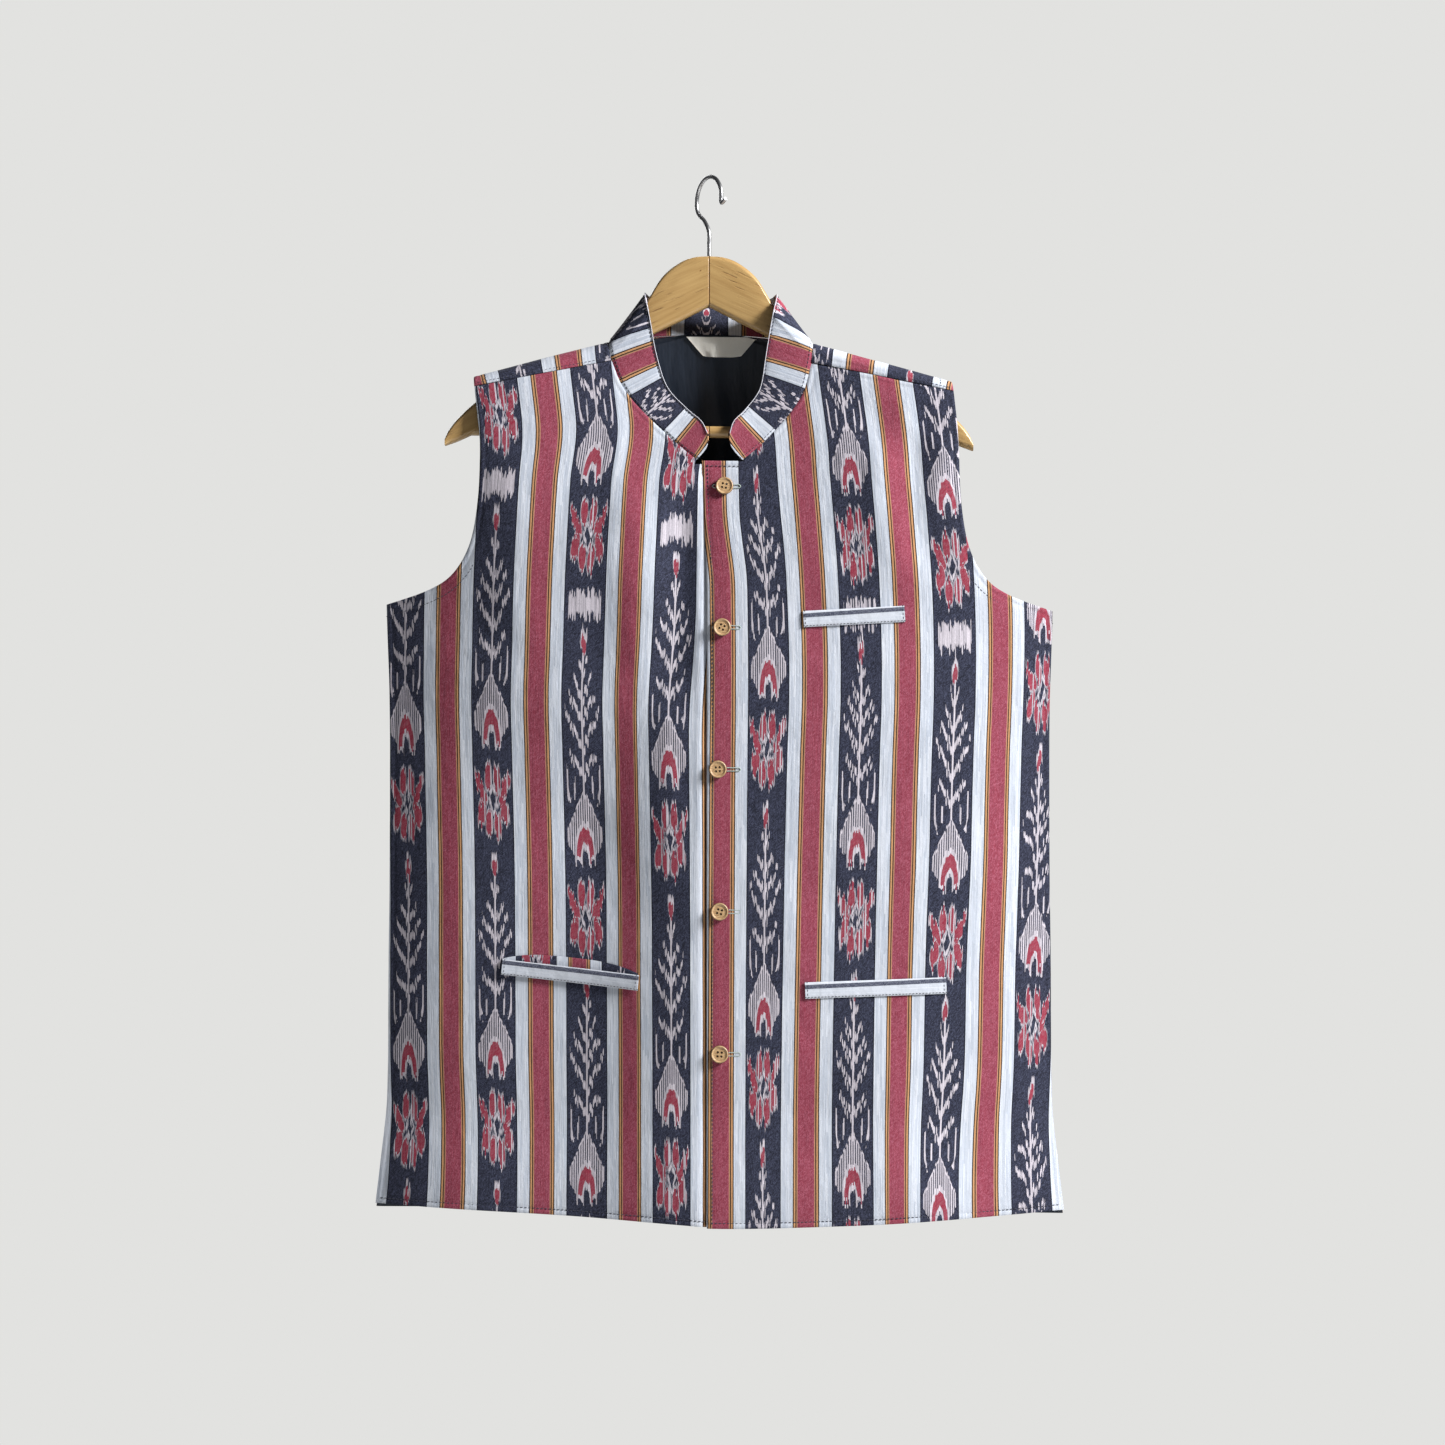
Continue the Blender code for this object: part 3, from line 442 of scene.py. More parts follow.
    def depth(self, face: Face, x: Array, z: Array, folded: bool) -> Array:
        """Returns how far a face stands off the plane of the side seams."""
        power = np.full(len(x), self.side_power)
        if face is Face.FRONT:
            drop = (self.front_power_top_z - z) / (self.front_power_top_z - self.front_power_bottom_z)
            power += (self.front_power - self.side_power) * smooth_step(drop)
        across = 1.0 - np.minimum(np.abs(x) / self.chest_half, 1.0) ** power
        swell = read_table(self.body, 2 if face is Face.FRONT else 3, z)
        if folded:
            swell = swell + self.fold_lift(face, x, z)
        left = 1.0 - np.clip((self.ridge_z(x) - z) / self.ridge_radius, 0.0, 1.0)
        over = np.sqrt(1.0 - left * left)
        slit = (self.slit_top_z - z) / (self.slit_top_z - self.hem_side_z)
        spread = self.slit_spread * smooth_step(slit)
        return swell * across * over + spread + 0.5 * self.seam_gap * (1.0 - across)

    def hang(self, x: Array, y: Array, z: Array) -> Array:
        """Sets places of the upright jacket off the hanger's centre and leans them."""
        shift = smooth_step((self.shift_top_z - z) / (self.shift_top_z - self.shift_bottom_z))
        centre = self.neck_centre + (self.body_centre - self.neck_centre) * shift
        return np.stack([x + centre, y, z - self.lean * x], axis=1)

    def body_points(self, face: Face, x: Array, z: Array, folded: bool) -> Array:
        """Returns the outer surface of one face."""
        spread = read_table(self.body, 1, z) - self.chest_half
        across = x + np.sign(x) * spread * (np.abs(x) / self.chest_half) ** self.side_power
        return self.hang(across, self.middle_y(x) - face.value * self.depth(face, x, z, folded), z)

    def front(self, flat: Array) -> Array:
        """Returns the wearer's left front at places of the cloth."""
        return self.body_points(Face.FRONT, flat[:, 0], flat[:, 1], True)

    def under_front(self, flat: Array) -> Array:
        """Returns the wearer's right front, which steps back under the lap."""
        way = (flat[:, 0] - self.underlap_start) / (self.underlap_end - self.underlap_start)
        points = self.front(flat)
        points[:, 1] += self.underlap_recess * smooth_step(way)
        return points

    def back(self, flat: Array, folded: bool = True) -> Array:
        """Returns the back, with its strip that comes forward over the shoulder."""
        x, arc = flat[:, 0], flat[:, 1]
        z = self.ridge_z(x) - self.drop_of_arc(arc)
        over = self.body_points(Face.FRONT, x, z, folded)
        behind = self.body_points(Face.BACK, x, z, folded)
        return np.where((arc > 0.0)[:, None], over, behind)

    def plain_back(self, flat: Array) -> Array:
        """Returns the back without its folds."""
        return self.back(flat, False)


DRAPE = Drape()


def outward_normals(surface: Surface, flat: Array, outward: Face) -> Array:
    """Measures the unit normals of a surface.

    Args:
        surface: The surface.
        flat: Places in the cloth.
        outward: Which way the cloth's right side looks.

    Returns:
        The normals, turned outwards.
    """
    step = 0.0004
    wide, tall = np.array([step, 0.0]), np.array([0.0, step])
    along_x = surface(flat + wide) - surface(flat - wide)
    along_z = surface(flat + tall) - surface(flat - tall)
    normal = np.cross(along_x, along_z) * outward.value
    return unit(normal)


@dataclass(frozen=True)
class Weave:
    """Where each point of a piece lies in the cloth that it is cut from.

    Attributes:
        threads: The place across and along the stripes, which the stripes and threads follow.
        motif: The way down from the middle of a flower, and from the middle of the pale bar.
    """

    threads: Array
    motif: Array


def plain_weave(points: Array) -> Weave:
    """Returns the weave of a cloth without a motif."""
    return Weave(points, np.ones((len(points), 2)))


def show(name: str, data: bpy.types.ID) -> Object:
    """Puts a mesh, a light or a camera into the scene."""
    item = bpy.data.objects.new(name, data)
    bpy.context.scene.collection.objects.link(item)
    return item


def new_mesh(name: str, points: Sequence, faces: Sequence, edges: Sequence = ()) -> bpy.types.Mesh:
    """Returns a mesh of points with faces or with loose edges."""
    mesh = bpy.data.meshes.new(name)
    mesh.from_pydata(points, edges, faces)
    return mesh


def dress(mesh: bpy.types.Mesh, materials: Sequence[Material], crease: float = 50.0) -> None:
    """Gives a mesh its finishes and smooths it up to a crease.

    Args:
        mesh: The mesh.
        materials: Its finishes, in the order of its slots.
        crease: The angle in degrees from which an edge stays sharp.
    """
    mesh.materials.clear()
    for material in materials:
        mesh.materials.append(material)
    mesh.shade_smooth()
    mesh.set_sharp_from_angle(angle=math.radians(crease))


def set_layer(mesh: bpy.types.Mesh, name: str, values: Array) -> None:
    """Gives a mesh flat coordinates of its points, for its material to read.

    Args:
        mesh: The mesh.
        name: The name of the coordinates.
        values: Two numbers for each point.
    """
    corners = np.zeros(len(mesh.loops), np.int32)
    mesh.loops.foreach_get("vertex_index", corners)
    mesh.uv_layers.new(name=name).data.foreach_set("uv", values[corners].astype(np.float32).ravel())


def turned_out(points: Array, faces: list[tuple[int, ...]]) -> list[tuple[int, ...]]:
    """Turns the faces of a closed skin round where they look inwards.

    Args:
        points: The points of the skin.
        faces: Its faces, all turned the same way.

    Returns:
        The faces, which look outwards.
    """
    fans = np.array([(face[0], b, c) for face in faces for b, c in zip(face[1:-1], face[2:])])
    first, second, third = (points[fans[:, corner]] for corner in range(3))
    volume = np.einsum("ij,ij->i", first, np.cross(second, third)).sum()
    return [face[::-1] for face in faces] if volume < 0.0 else faces


def build_wall(
    name: str, outer: Array, inner: Array, faces: Array, weave: Weave, materials: Sequence[Material],
) -> Object:
    """Closes a wall from its outer and inner points, which share their triangles.

    Args:
        name: The name of the piece.
        outer: The points of the right side.
        inner: The points of the wrong side.
        faces: The triangles.
        weave: The cloth's coordinates, for each point.
        materials: The finish of the right side and the rim, and of the wrong side if it differs.

    Returns:
        The piece, linked to the scene.
    """
    used, order = np.unique(faces, return_inverse=True)
    faces = order.reshape(faces.shape)
    count = len(used)
    points = np.vstack([outer[used], inner[used]])
    directed = np.vstack([faces[:, [0, 1]], faces[:, [1, 2]], faces[:, [2, 0]]])
    keys = directed[:, 0] * count + directed[:, 1]
    backwards = directed[:, 1] * count + directed[:, 0]
    start, end = directed[~np.isin(backwards, keys)].T
    rim = np.stack([end, start, start + count, end + count], axis=1)
    polygons = [tuple(face) for part in (faces, faces[:, ::-1] + count, rim) for face in part.tolist()]
    mesh = new_mesh(name, points.tolist(), turned_out(points, polygons))
    dress(mesh, materials)
    slots = np.zeros(len(polygons), np.int32)
    slots[len(faces) : 2 * len(faces)] = len(materials) - 1
    mesh.polygons.foreach_set("material_index", slots)
    for layer, values in (("threads", weave.threads), ("motif", weave.motif)):
        set_layer(mesh, layer, np.vstack([values[used], values[used]]))
    return show(name, mesh)


def put_on(piece: Object, slot: str | None, *nodes: str) -> Object:
    """Lets a piece ride on the jacket and stand for its solids.

    Args:
        piece: The finished piece.
        slot: The record's material slot, or None where the record has none for it; not used.
        nodes: The solids that it stands for.

    Returns:
        The piece.
    """
    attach(piece, ROOT)
    if nodes:
        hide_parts(*nodes)
    LOG.info("%s: %d faces", piece.name, len(piece.data.polygons))
    return piece


# What may feed a socket of a material's node.
Feed = "Value | Socket | float | Colour"


class Graph:
    """Adds the nodes of one material."""

    def __init__(self, name: str) -> None:
        """Starts a material with a Principled shader."""
        self.material = bpy.data.materials.new(name)
        self.material.use_nodes = True
        self.tree = self.material.node_tree
        self.shader = self.tree.nodes["Principled BSDF"]

    def link(self, feed: Feed, socket: Socket) -> None:
        """Feeds a number, a value or another node's socket to a socket."""
        feed = feed.socket if isinstance(feed, Value) else feed
        if isinstance(feed, Socket):
            self.tree.links.new(feed, socket)
        else:
            socket.default_value = feed

    def node(self, kind: str, feeds: dict[int | str, Feed], **settings: str) -> bpy.types.Node:
        """Adds a node.

        Args:
            kind: Its type, without the words that all of them start with.
            feeds: What feeds its sockets, by their number or name.
            settings: The choices that it offers.

        Returns:
            The node.
        """
        node = self.tree.nodes.new(f"ShaderNode{kind}")
        for name, setting in settings.items():
            setattr(node, name, setting)
        for key, feed in feeds.items():
            self.link(feed, node.inputs[key])
        return node

    def math(self, operation: str, *feeds: Feed) -> "Value":
        """Returns the result of a Math node."""
        return Value(self, self.node("Math", dict(enumerate(feeds)), operation=operation).outputs[0])

    def smooth(self, value: "Value", low: float, high: float) -> "Value":
        """Returns a smooth rise from 0 at low to 1 at high."""
        feeds = {"Value": value, "From Min": low, "From Max": high}
        return Value(self, self.node("MapRange", feeds, interpolation_type="SMOOTHSTEP").outputs["Result"])

    def vector(self, x: Feed, y: Feed, z: Feed = 0.0) -> Socket:
        """Returns a vector of three numbers."""
        return self.node("CombineXYZ", {0: x, 1: y, 2: z}).outputs[0]

    def split(self, vector: Socket) -> tuple["Value", "Value", "Value"]:
        """Returns the three numbers of a vector."""
        return tuple(Value(self, socket) for socket in self.node("SeparateXYZ", {0: vector}).outputs)

    def layer(self, name: str) -> tuple["Value", "Value"]:
        """Returns the piece's own coordinates of that name, in millimetres."""
        across, along, _ = self.split(self.node("UVMap", {}, uv_map=name).outputs[0])
        return across * MILLIMETRES, along * MILLIMETRES

    def place(self) -> tuple["Value", "Value", "Value"]:
        """Returns the place in the object, in metres."""
        return self.split(self.node("TexCoord", {}).outputs["Object"])

    def noise(self, vector: Socket, scale: float, detail: float = 2.0) -> "Value":
        """Returns a smooth noise from 0 to 1."""
        node = self.node("TexNoise", {"Vector": vector, "Scale": scale, "Detail": detail})
        return Value(self, node.outputs["Fac"])

    def speckle(self, across: Feed, along: Feed = 0.0) -> "Value":
        """Returns an even random number for each whole cell of the two numbers."""
        floors = [v if isinstance(v, float) else self.math("FLOOR", v) for v in (across, along)]
        node = self.node("TexWhiteNoise", {"Vector": self.vector(*floors)}, noise_dimensions="2D")
        return Value(self, node.outputs["Value"])

    def mix(self, share: Feed, first: Feed, second: Feed, blend: str = "MIX") -> Socket:
        """Returns two colours mixed by a share of the second."""
        feeds = {0: share, 6: first, 7: second}
        return self.node("Mix", feeds, data_type="RGBA", blend_type=blend).outputs[2]

    def bands(self, value: "Value", stops: Sequence[tuple[float, Colour]]) -> Socket:
        """Returns a colour that changes at once at each of the given values from 0 to 1."""
        node = self.node("ValToRGB", {0: value})
        ramp = node.color_ramp
        ramp.interpolation = "CONSTANT"
        for index, (at, colour) in enumerate(stops):
            stop = ramp.elements[index] if index < 2 else ramp.elements.new(at)
            stop.position = at
            stop.color = colour
        return node.outputs[0]

    def bump(self, height: "Value", distance: float) -> None:
        """Raises the surface by a height, in units of distance."""
        node = self.node("Bump", {"Distance": distance, "Strength": 1.0, "Height": height})
        self.link(node.outputs[0], self.shader.inputs["Normal"])

    def finish(self, colour: Feed, roughness: Feed, **sockets: float) -> Material:
        """Sets the shader's colour, roughness and other sockets.

        Args:
            colour: The base colour.
            roughness: The roughness.
            sockets: Other sockets by name, with an underscore for a space.

        Returns:
            The material.
        """
        self.link(colour, self.shader.inputs["Base Color"])
        self.link(roughness, self.shader.inputs["Roughness"])
        for name, value in sockets.items():
            self.shader.inputs[name.replace("_", " ")].default_value = value
        return self.material


def sign(operation: str, turned: bool = False) -> Callable[..., "Value"]:
    """Makes one of Python's signs for a Value.

    Args:
        operation: The Math node's operation.
        turned: Whether the other number comes first.

    Returns:
        The method that adds the node.
    """

    def method(self: "Value", *others: Feed) -> "Value":
        """Returns the result of the node."""
        return self.graph.math(operation, *((*others, self) if turned else (self, *others)))

    return method


@dataclass(frozen=True)
class Value:
    """A number in a material, which Python's own signs turn into Math nodes."""

    graph: Graph
    socket: Socket
    __add__ = sign("ADD")
    __radd__ = sign("ADD", True)
    __sub__ = sign("SUBTRACT")
    __rsub__ = sign("SUBTRACT", True)
    __mul__ = sign("MULTIPLY")
    __rmul__ = sign("MULTIPLY", True)
    __truediv__ = sign("DIVIDE")
    __abs__ = sign("ABSOLUTE")
    __lt__ = sign("LESS_THAN")
    __gt__ = sign("GREATER_THAN")
    least = sign("MINIMUM")
    most = sign("MAXIMUM")

    def wrapped(self, high: float) -> "Value":
        """Returns the number repeated between 0 and high."""
        return self.graph.math("WRAP", self, high, 0.0)


@dataclass(frozen=True)
class StripeLayout:
    """The stripes of the cloth, in millimetres off the middle of a dark column.

    Attributes:
        period: From the middle of one dark column to the next.
        first: Where the first column's middle lies on the fronts, in metres.
        line: Where the near-black line that edges a dark column starts.
        grey: Where the grey-blue band starts.
        cord: Where the four narrow dark and ochre lines start.
        red: Where the red band starts.
        repeat: From one flower to the next, down a column.
        pause: How much cloth the pale bar adds to a repeat that has one, in metres.
        pause_from: How far below a flower that cloth starts, in metres.
    """

    period: float = 78.0
    first: float = 0.0401
    line: float = 16.6
    grey: float = 17.4
    cord: float = 27.9
    red: float = 32.0
    repeat: float = 281.0
    pause: float = 0.032
    pause_from: float = 0.042

    def column_of(self, across: Array) -> Array:
        """Returns the number of the nearest dark column."""
        return np.round((across - self.first) * MILLIMETRES / self.period)


STRIPES = StripeLayout()


@dataclass(frozen=True)
class ColumnRow:
    """The flowers of one dark column: their heights, and which of them has a bar below it."""

    flowers: tuple[float, ...]
    bar_below: int | None = None

    def motif(self, along: Array) -> Array:
        """Reads the motif at heights in this column.

        Args:
            along: The heights.

        Returns:
            The way down from a flower and from the bar, in metres.
        """
        heights, downs = [], []
        repeat = STRIPES.repeat / MILLIMETRES
        for index, height in enumerate(self.flowers):
            heights.append(height)
            downs.append(index * repeat)
            if index == self.bar_below:
                start = height - STRIPES.pause_from
                heights += [start, start - STRIPES.pause]
                downs += [index * repeat + STRIPES.pause_from] * 2
        heights = [heights[0] + 1.0] + heights + [heights[-1] - 1.0]
        downs = [downs[0] - 1.0] + downs + [downs[-1] + 1.0]
        down = np.interp(-along, -np.array(heights), np.array(downs))
        bar = np.ones_like(along)
        if self.bar_below is not None:
            middle = self.flowers[self.bar_below] - STRIPES.pause_from - 0.5 * STRIPES.pause
            bar = middle - along
        return pair(down, bar)


def columns_motif(rows: dict[int, ColumnRow], columns: Array, along: Array) -> Array:
    """Reads the motif where each point lies in its own column.

    Args:
        rows: The columns by number.
        columns: The column of each point.
        along: The height of each point.

    Returns:
        The way down from a flower and from the bar, for each point.
    """
    motif = np.ones((len(along), 2))
    for number, row in rows.items():
        mask = columns == number
        motif[mask] = row.motif(along[mask])
    return motif


@dataclass(frozen=True)
class Push:
    """A push of the stripes along +X, which grows over a stretch of a front.

    Attributes:
        amount: How far it pushes where it is full.
        x: Where it starts and how far on it is full, across the front.
        z: The same in height, if it depends on it.
        even: Whether it grows evenly across the front, not softly.
    """

    amount: float
    x: tuple[float, float]
    z: tuple[float, float] | None = None
    even: bool = False

    def at(self, x: Array, z: Array) -> Array:
        """Returns how far it pushes at places of the front."""
        way = (x - self.x[0]) / self.x[1]
        share = np.clip(way, 0.0, 1.0) if self.even else smooth_step(way)
        if self.z:
            share = share * smooth_step((z - self.z[0]) / self.z[1])
        return self.amount * share


@dataclass(frozen=True)
class FrontPattern:
    """How the stripes and the motif run on the fronts.

    A row of drift is a height, and how far the stripes lie towards the centre front there, on
    the wearer's left and right.
    """

    side_gain: float = 0.0056
    side_gain_power: float = 5.0
    centre_share: float = 0.25
    centre_from: float = 0.012
    centre_reach: float = 0.050
    left_pushes: tuple[Push, ...] = (
        Push(0.0015, (0.040, -0.030)), Push(0.0040, (0.140, 0.100)),
        Push(-0.0025, (0.125, 0.075), (-0.560, -0.120), True),
        Push(-0.0085, (0.125, 0.075), (-0.730, -0.150), True),
        Push(-0.0060, (0.062, -0.034), (-0.350, 0.070)),
    )
    right_pushes: tuple[Push, ...] = (
        Push(0.0065, (-0.220, 0.120), (-0.262, 0.056), True), Push(-0.0030, (-0.100, 0.050)),
        Push(-0.0025, (-0.100, 0.050), (-0.360, -0.120)), Push(0.0030, (-0.058, 0.035), (-0.480, 0.120)),
        Push(0.0065, (-0.115, -0.111), (-0.730, -0.140), True),
    )
    drift: tuple[tuple[float, float, float], ...] = (
        (-0.160, 0.0112, 0.0080), (-0.240, 0.0088, 0.0085), (-0.290, 0.0050, 0.0060),
        (-0.340, 0.0015, 0.0035), (-0.400, -0.0007, 0.0015), (-0.443, -0.0008, 0.0000),
        (-0.490, 0.0008, 0.0009), (-0.612, 0.0038, 0.0034), (-0.781, 0.0068, 0.0045),
        (-0.885, 0.0075, 0.0050),
    )
    columns: tuple[tuple[int, ColumnRow], ...] = (
        (-4, ColumnRow((-0.5309, -0.8045))), (-3, ColumnRow((-0.2044, -0.5292, -0.8029), 0)),
        (-2, ColumnRow((-0.3049, -0.6271), 0)), (-1, ColumnRow((-0.2421, -0.5618, -0.8431), 0)),
        (0, ColumnRow((-0.4848, -0.7677))), (1, ColumnRow((-0.3132, -0.6271), 0)),
        (2, ColumnRow((-0.3325, -0.6480), 0)), (3, ColumnRow((-0.4363, -0.7175))),
    )

    def weave(self, side: Side, flat: Array) -> Weave:
        """Reads the cloth's coordinates on a front.

        Args:
            side: Which front it is.
            flat: Places on it, in x and z.

        Returns:
            The weave at those places.
        """
        x, z = flat[:, 0], flat[:, 1]
        left = side is Side.LEFT
        reach = smooth_step((np.abs(x) - self.centre_from) / self.centre_reach)
        drift = read_table(self.drift, 1 if left else 2, z)
        across = x + side.value * drift * (self.centre_share + (1.0 - self.centre_share) * reach)
        for push in self.left_pushes if left else self.right_pushes:
            across = across - push.at(x, z)
        across = across + np.sign(x) * self.side_gain * (np.abs(x) / DRAPE.chest_half) ** self.side_gain_power
        threads = pair(across - STRIPES.first, z)
        columns = STRIPES.column_of(across)
        return Weave(threads, columns_motif(dict(self.columns), columns, z - DRAPE.lean * x))


@dataclass(frozen=True)
class BackPattern:
    """How the stripes and the motif run on the back and over the shoulders."""

    centre: float = 0.003
    ridge_gain: float = 0.065
    gain_reach: float = 0.060
    columns: tuple[tuple[int, ColumnRow], ...] = (
        (-4, ColumnRow((-0.42, -0.70))), (-3, ColumnRow((-0.185, -0.47, -0.78), 1)),
        (-2, ColumnRow((0.085, -0.196, -0.51), 1)), (-1, ColumnRow((0.175, -0.106, -0.42, -0.70), 1)),
        (0, ColumnRow((-0.05, -0.335, -0.65), 1)), (1, ColumnRow((0.175, -0.106, -0.40, -0.68), 1)),
        (2, ColumnRow((0.069, -0.212, -0.525), 1)), (3, ColumnRow((-0.190, -0.47, -0.75), 0)),
        (4, ColumnRow((-0.36, -0.64))),
    )

    def weave(self, flat: Array) -> Weave:
        """Returns the cloth's coordinates at places of the back."""
        x, arc = flat[:, 0], flat[:, 1]
        near = np.clip(1.0 - np.abs(arc) / self.gain_reach, 0.0, 1.0)
        across = (x - self.centre * near) / (1.0 + self.ridge_gain * near)
        columns = np.round(across * MILLIMETRES / STRIPES.period)
        return Weave(pair(across, arc), columns_motif(dict(self.columns), columns, arc))


@dataclass(frozen=True)
class Ikat:
    """The motif of a dark column, drawn in millimetres off its middle and down from a flower.

    Every shape is one half of a pair, left and right of the column's middle. A petal is how
    far off and how far down its middle lies, its half width, half height and slant. A branch is
    how far down it leaves the stem, how far off it reaches and how steeply it rises.
    """

    thread: float = 0.95
    feather: float = 4.8
    above: float = 36.0
    drift: float = 1.6
    red_share: float = 0.92
    red_thread: float = 1.0
    red_gaps: float = 0.13
    taper: float = 0.8
    petals: tuple[tuple[float, float, float, float, float], ...] = (
        (3.8, -18.4, 2.9, 10.6, 0.0), (10.3, -11.0, 2.9, 12.6, -0.34), (10.0, 9.4, 3.5, 9.6, 0.10),
        (3.7, 20.0, 3.0, 10.6, 0.0),
    )
    outline: float = 0.8
    flame: float = 3.4
    eye_half: float = 2.8
    eye_tall: float = 9.0
    bud_down: float = 58.0
    branches: tuple[tuple[float, float, float], ...] = (
        (86.5, 3.6, 3.6), (107.5, 7.4, 2.6), (124.0, 11.2, 2.1), (147.0, 14.4, 2.3), (168.0, 11.4, 1.7),
    )
    branch_half: float = 4.3
    hook: tuple[float, float] = (158.0, 186.0)
    hook_off: float = 13.6
    hook_bends: float = 174.0
    hook_bend: float = 8.6
    stroke: tuple[float, float] = (168.0, 182.0)
    stroke_off: float = 7.6
    arch_foot: float = 233.0
    arch_down: float = 232.0
    arch_wide_squared: float = 53.0
    arch_tall: float = 25.0
    arch_legs: float = 60.0
    hollow_from: float = 226.0
    drop_top: float = 177.0
    drop_height: float = 63.0
    drop_half: float = 14.7
    drop_share: float = 0.4
    pin: float = 1.9
    pin_share: float = 0.42

    def oval(
        self, off: Value, down: Value, petal: Sequence[float], wider: float = 0.0, taller: float = 0.0
    ) -> Value:
        """Returns a number that is below 1 inside an upright oval."""
        middle, at, half, tall, slant = petal
        rise = down - at
        across = (off - middle - rise * slant) / (half + wider) if slant else (off - middle) / (half + wider)
        rise = rise / (tall + taller)
        return across * across + rise * rise

    def flower(self, off: Value, down: Value, near: Value, tip: Value) -> tuple[Value, Value]:
        """Returns the pale and the red of the flower."""
        red = self.oval(off, near, self.petals[0])
        pale = self.oval(off, down, self.petals[0], self.outline, self.flame)
        for petal in self.petals[1:]:
            red = red.least(self.oval(off, near, petal))
            pale = pale.least(self.oval(off, down, petal, self.outline, self.flame))
        eye = off / self.eye_half + abs(near) / self.eye_tall
        white = (pale + tip < 1.0).most(eye < 1.5) * (eye > 1.0)
        return white, (red < 1.0) * (eye > 1.45)

    def stem(self, off: Value, down: Value, near: Value, tip: Value) -> tuple[Value, Value]:
        """Returns the pale and the red of the bud, its stem and the branches below it."""
        red = self.oval(off, near, (0.0, self.bud_down, 2.2, 6.8, 0.0)) < 1.0
        pale = self.oval(off, down, (0.0, self.bud_down - 2.5, 3.2, 11.0, 0.0)) + tip < 1.0
        stalk = (off < 0.7) * (near > self.bud_down) * (near < self.drop_top + 4.0)
        pale = pale.most(stalk)
        for base, reach, slope in self.branches:
            line = down + off * slope - (base - 2.0)
            width = self.branch_half - 1.3 * (off / reach) - tip * 4.0
            pale = pale.most((abs(line) < width) * (off < reach))
        return pale, red

    def hooks(self, off: Value, near: Value) -> Value:
        """Returns the fine hooks and strokes beside the top of the teardrop."""
        lower = (near - self.hook_bends).most(0.0)
        bend = lower / self.hook_bend
        hook = abs(off - (self.hook_off - bend * bend)) < 0.6 + lower * 0.05
        hook = hook * (near > self.hook[0]) * (near < self.hook[1])
        stroke = (abs(off - self.stroke_off) < 0.7) * (near > self.stroke[0]) * (near < self.stroke[1])
        return hook.most(stroke)

    def teardrop(self, off: Value, down: Value, near: Value, across: Value) -> tuple[Value, Value, Value]:
        """Returns the pale, the red and the dark middle of the teardrop."""
        graph = off.graph
        way = (near - self.drop_top) / self.drop_height
        width = graph.math("POWER", (way / 0.50).least(1.0).most(0.0), 0.95)
        tail = (way - 0.68).most(0.0) / 0.32
        width = width.least(1.0 - tail * 0.85) * self.drop_half
        here = down > 0.0
        ends = (down < self.drop_top + self.drop_height + 7.0) * here
        body = (off < width) * (way > 0.0) * ends
        pins = (across / self.pin).wrapped(1.0) > self.pin_share
        edge = (off > width - 1.0) * (way < 0.68)
        below = (near - self.arch_down).most(0.0) / self.arch_legs
        above = (near - self.arch_down).least(0.0) / self.arch_tall
        arch = off * off * (1.0 / self.arch_wide_squared) + above * above + below * below
        foot = (down < self.arch_foot) * here
        red = (arch < 1.0) * (arch > 0.27) * foot
        ring = (arch < 1.42) * (arch > 0.11) * (down < self.arch_foot + 3.0) * here
        core = (arch < 0.11) * (near > self.hollow_from)
        return (body * pins.most(edge)).most(ring), red, core

    def draw(self, off: Value, down: Value, bar: Value, across: Value) -> tuple[Value, Value]:
        """Draws the whole motif.

        Args:
            off: How far off the column's middle.
            down: How far down from a flower.
            bar: How far below the middle of the pale bar.
            across: The place across the cloth, which tells one thread from the next.

        Returns:
            Where the cloth is pale and where it is red.
        """
        graph = off.graph
        strand = across / self.thread
        chance = graph.speckle(strand)
        tip = abs(strand - graph.math("FLOOR", strand) - 0.5) * self.taper
        wander = graph.noise(graph.vector(across, 0.0), 0.45, 1.0)
        shift = (chance - 0.5) * (2.0 * self.feather) + (wander - 0.5) * (2.0 * self.drift)
        near = (down + shift * self.red_share + self.above).wrapped(STRIPES.repeat) - self.above
        calm = (down + shift * self.drop_share + self.above).wrapped(STRIPES.repeat) - self.above
        down = (down + shift + self.above).wrapped(STRIPES.repeat) - self.above
        flower_pale, flower_red = self.flower(off, down, near, tip)
        stem_pale, stem_red = self.stem(off, down, near, tip)
        drop_pale, drop_red, core = self.teardrop(off, near, calm, across)
        pale = flower_pale.most(stem_pale).most(self.hooks(off, near)).most(drop_pale)
        band = (abs(bar + shift * 1.2) < 10.8 - tip * 5.0) * (off < 13.6)
        pale = pale.most(band) * (1.0 - core)
        whole = graph.speckle(across / self.red_thread + 40.0) > self.red_gaps
        return pale, (flower_red * whole).most(stem_red).most(drop_red)


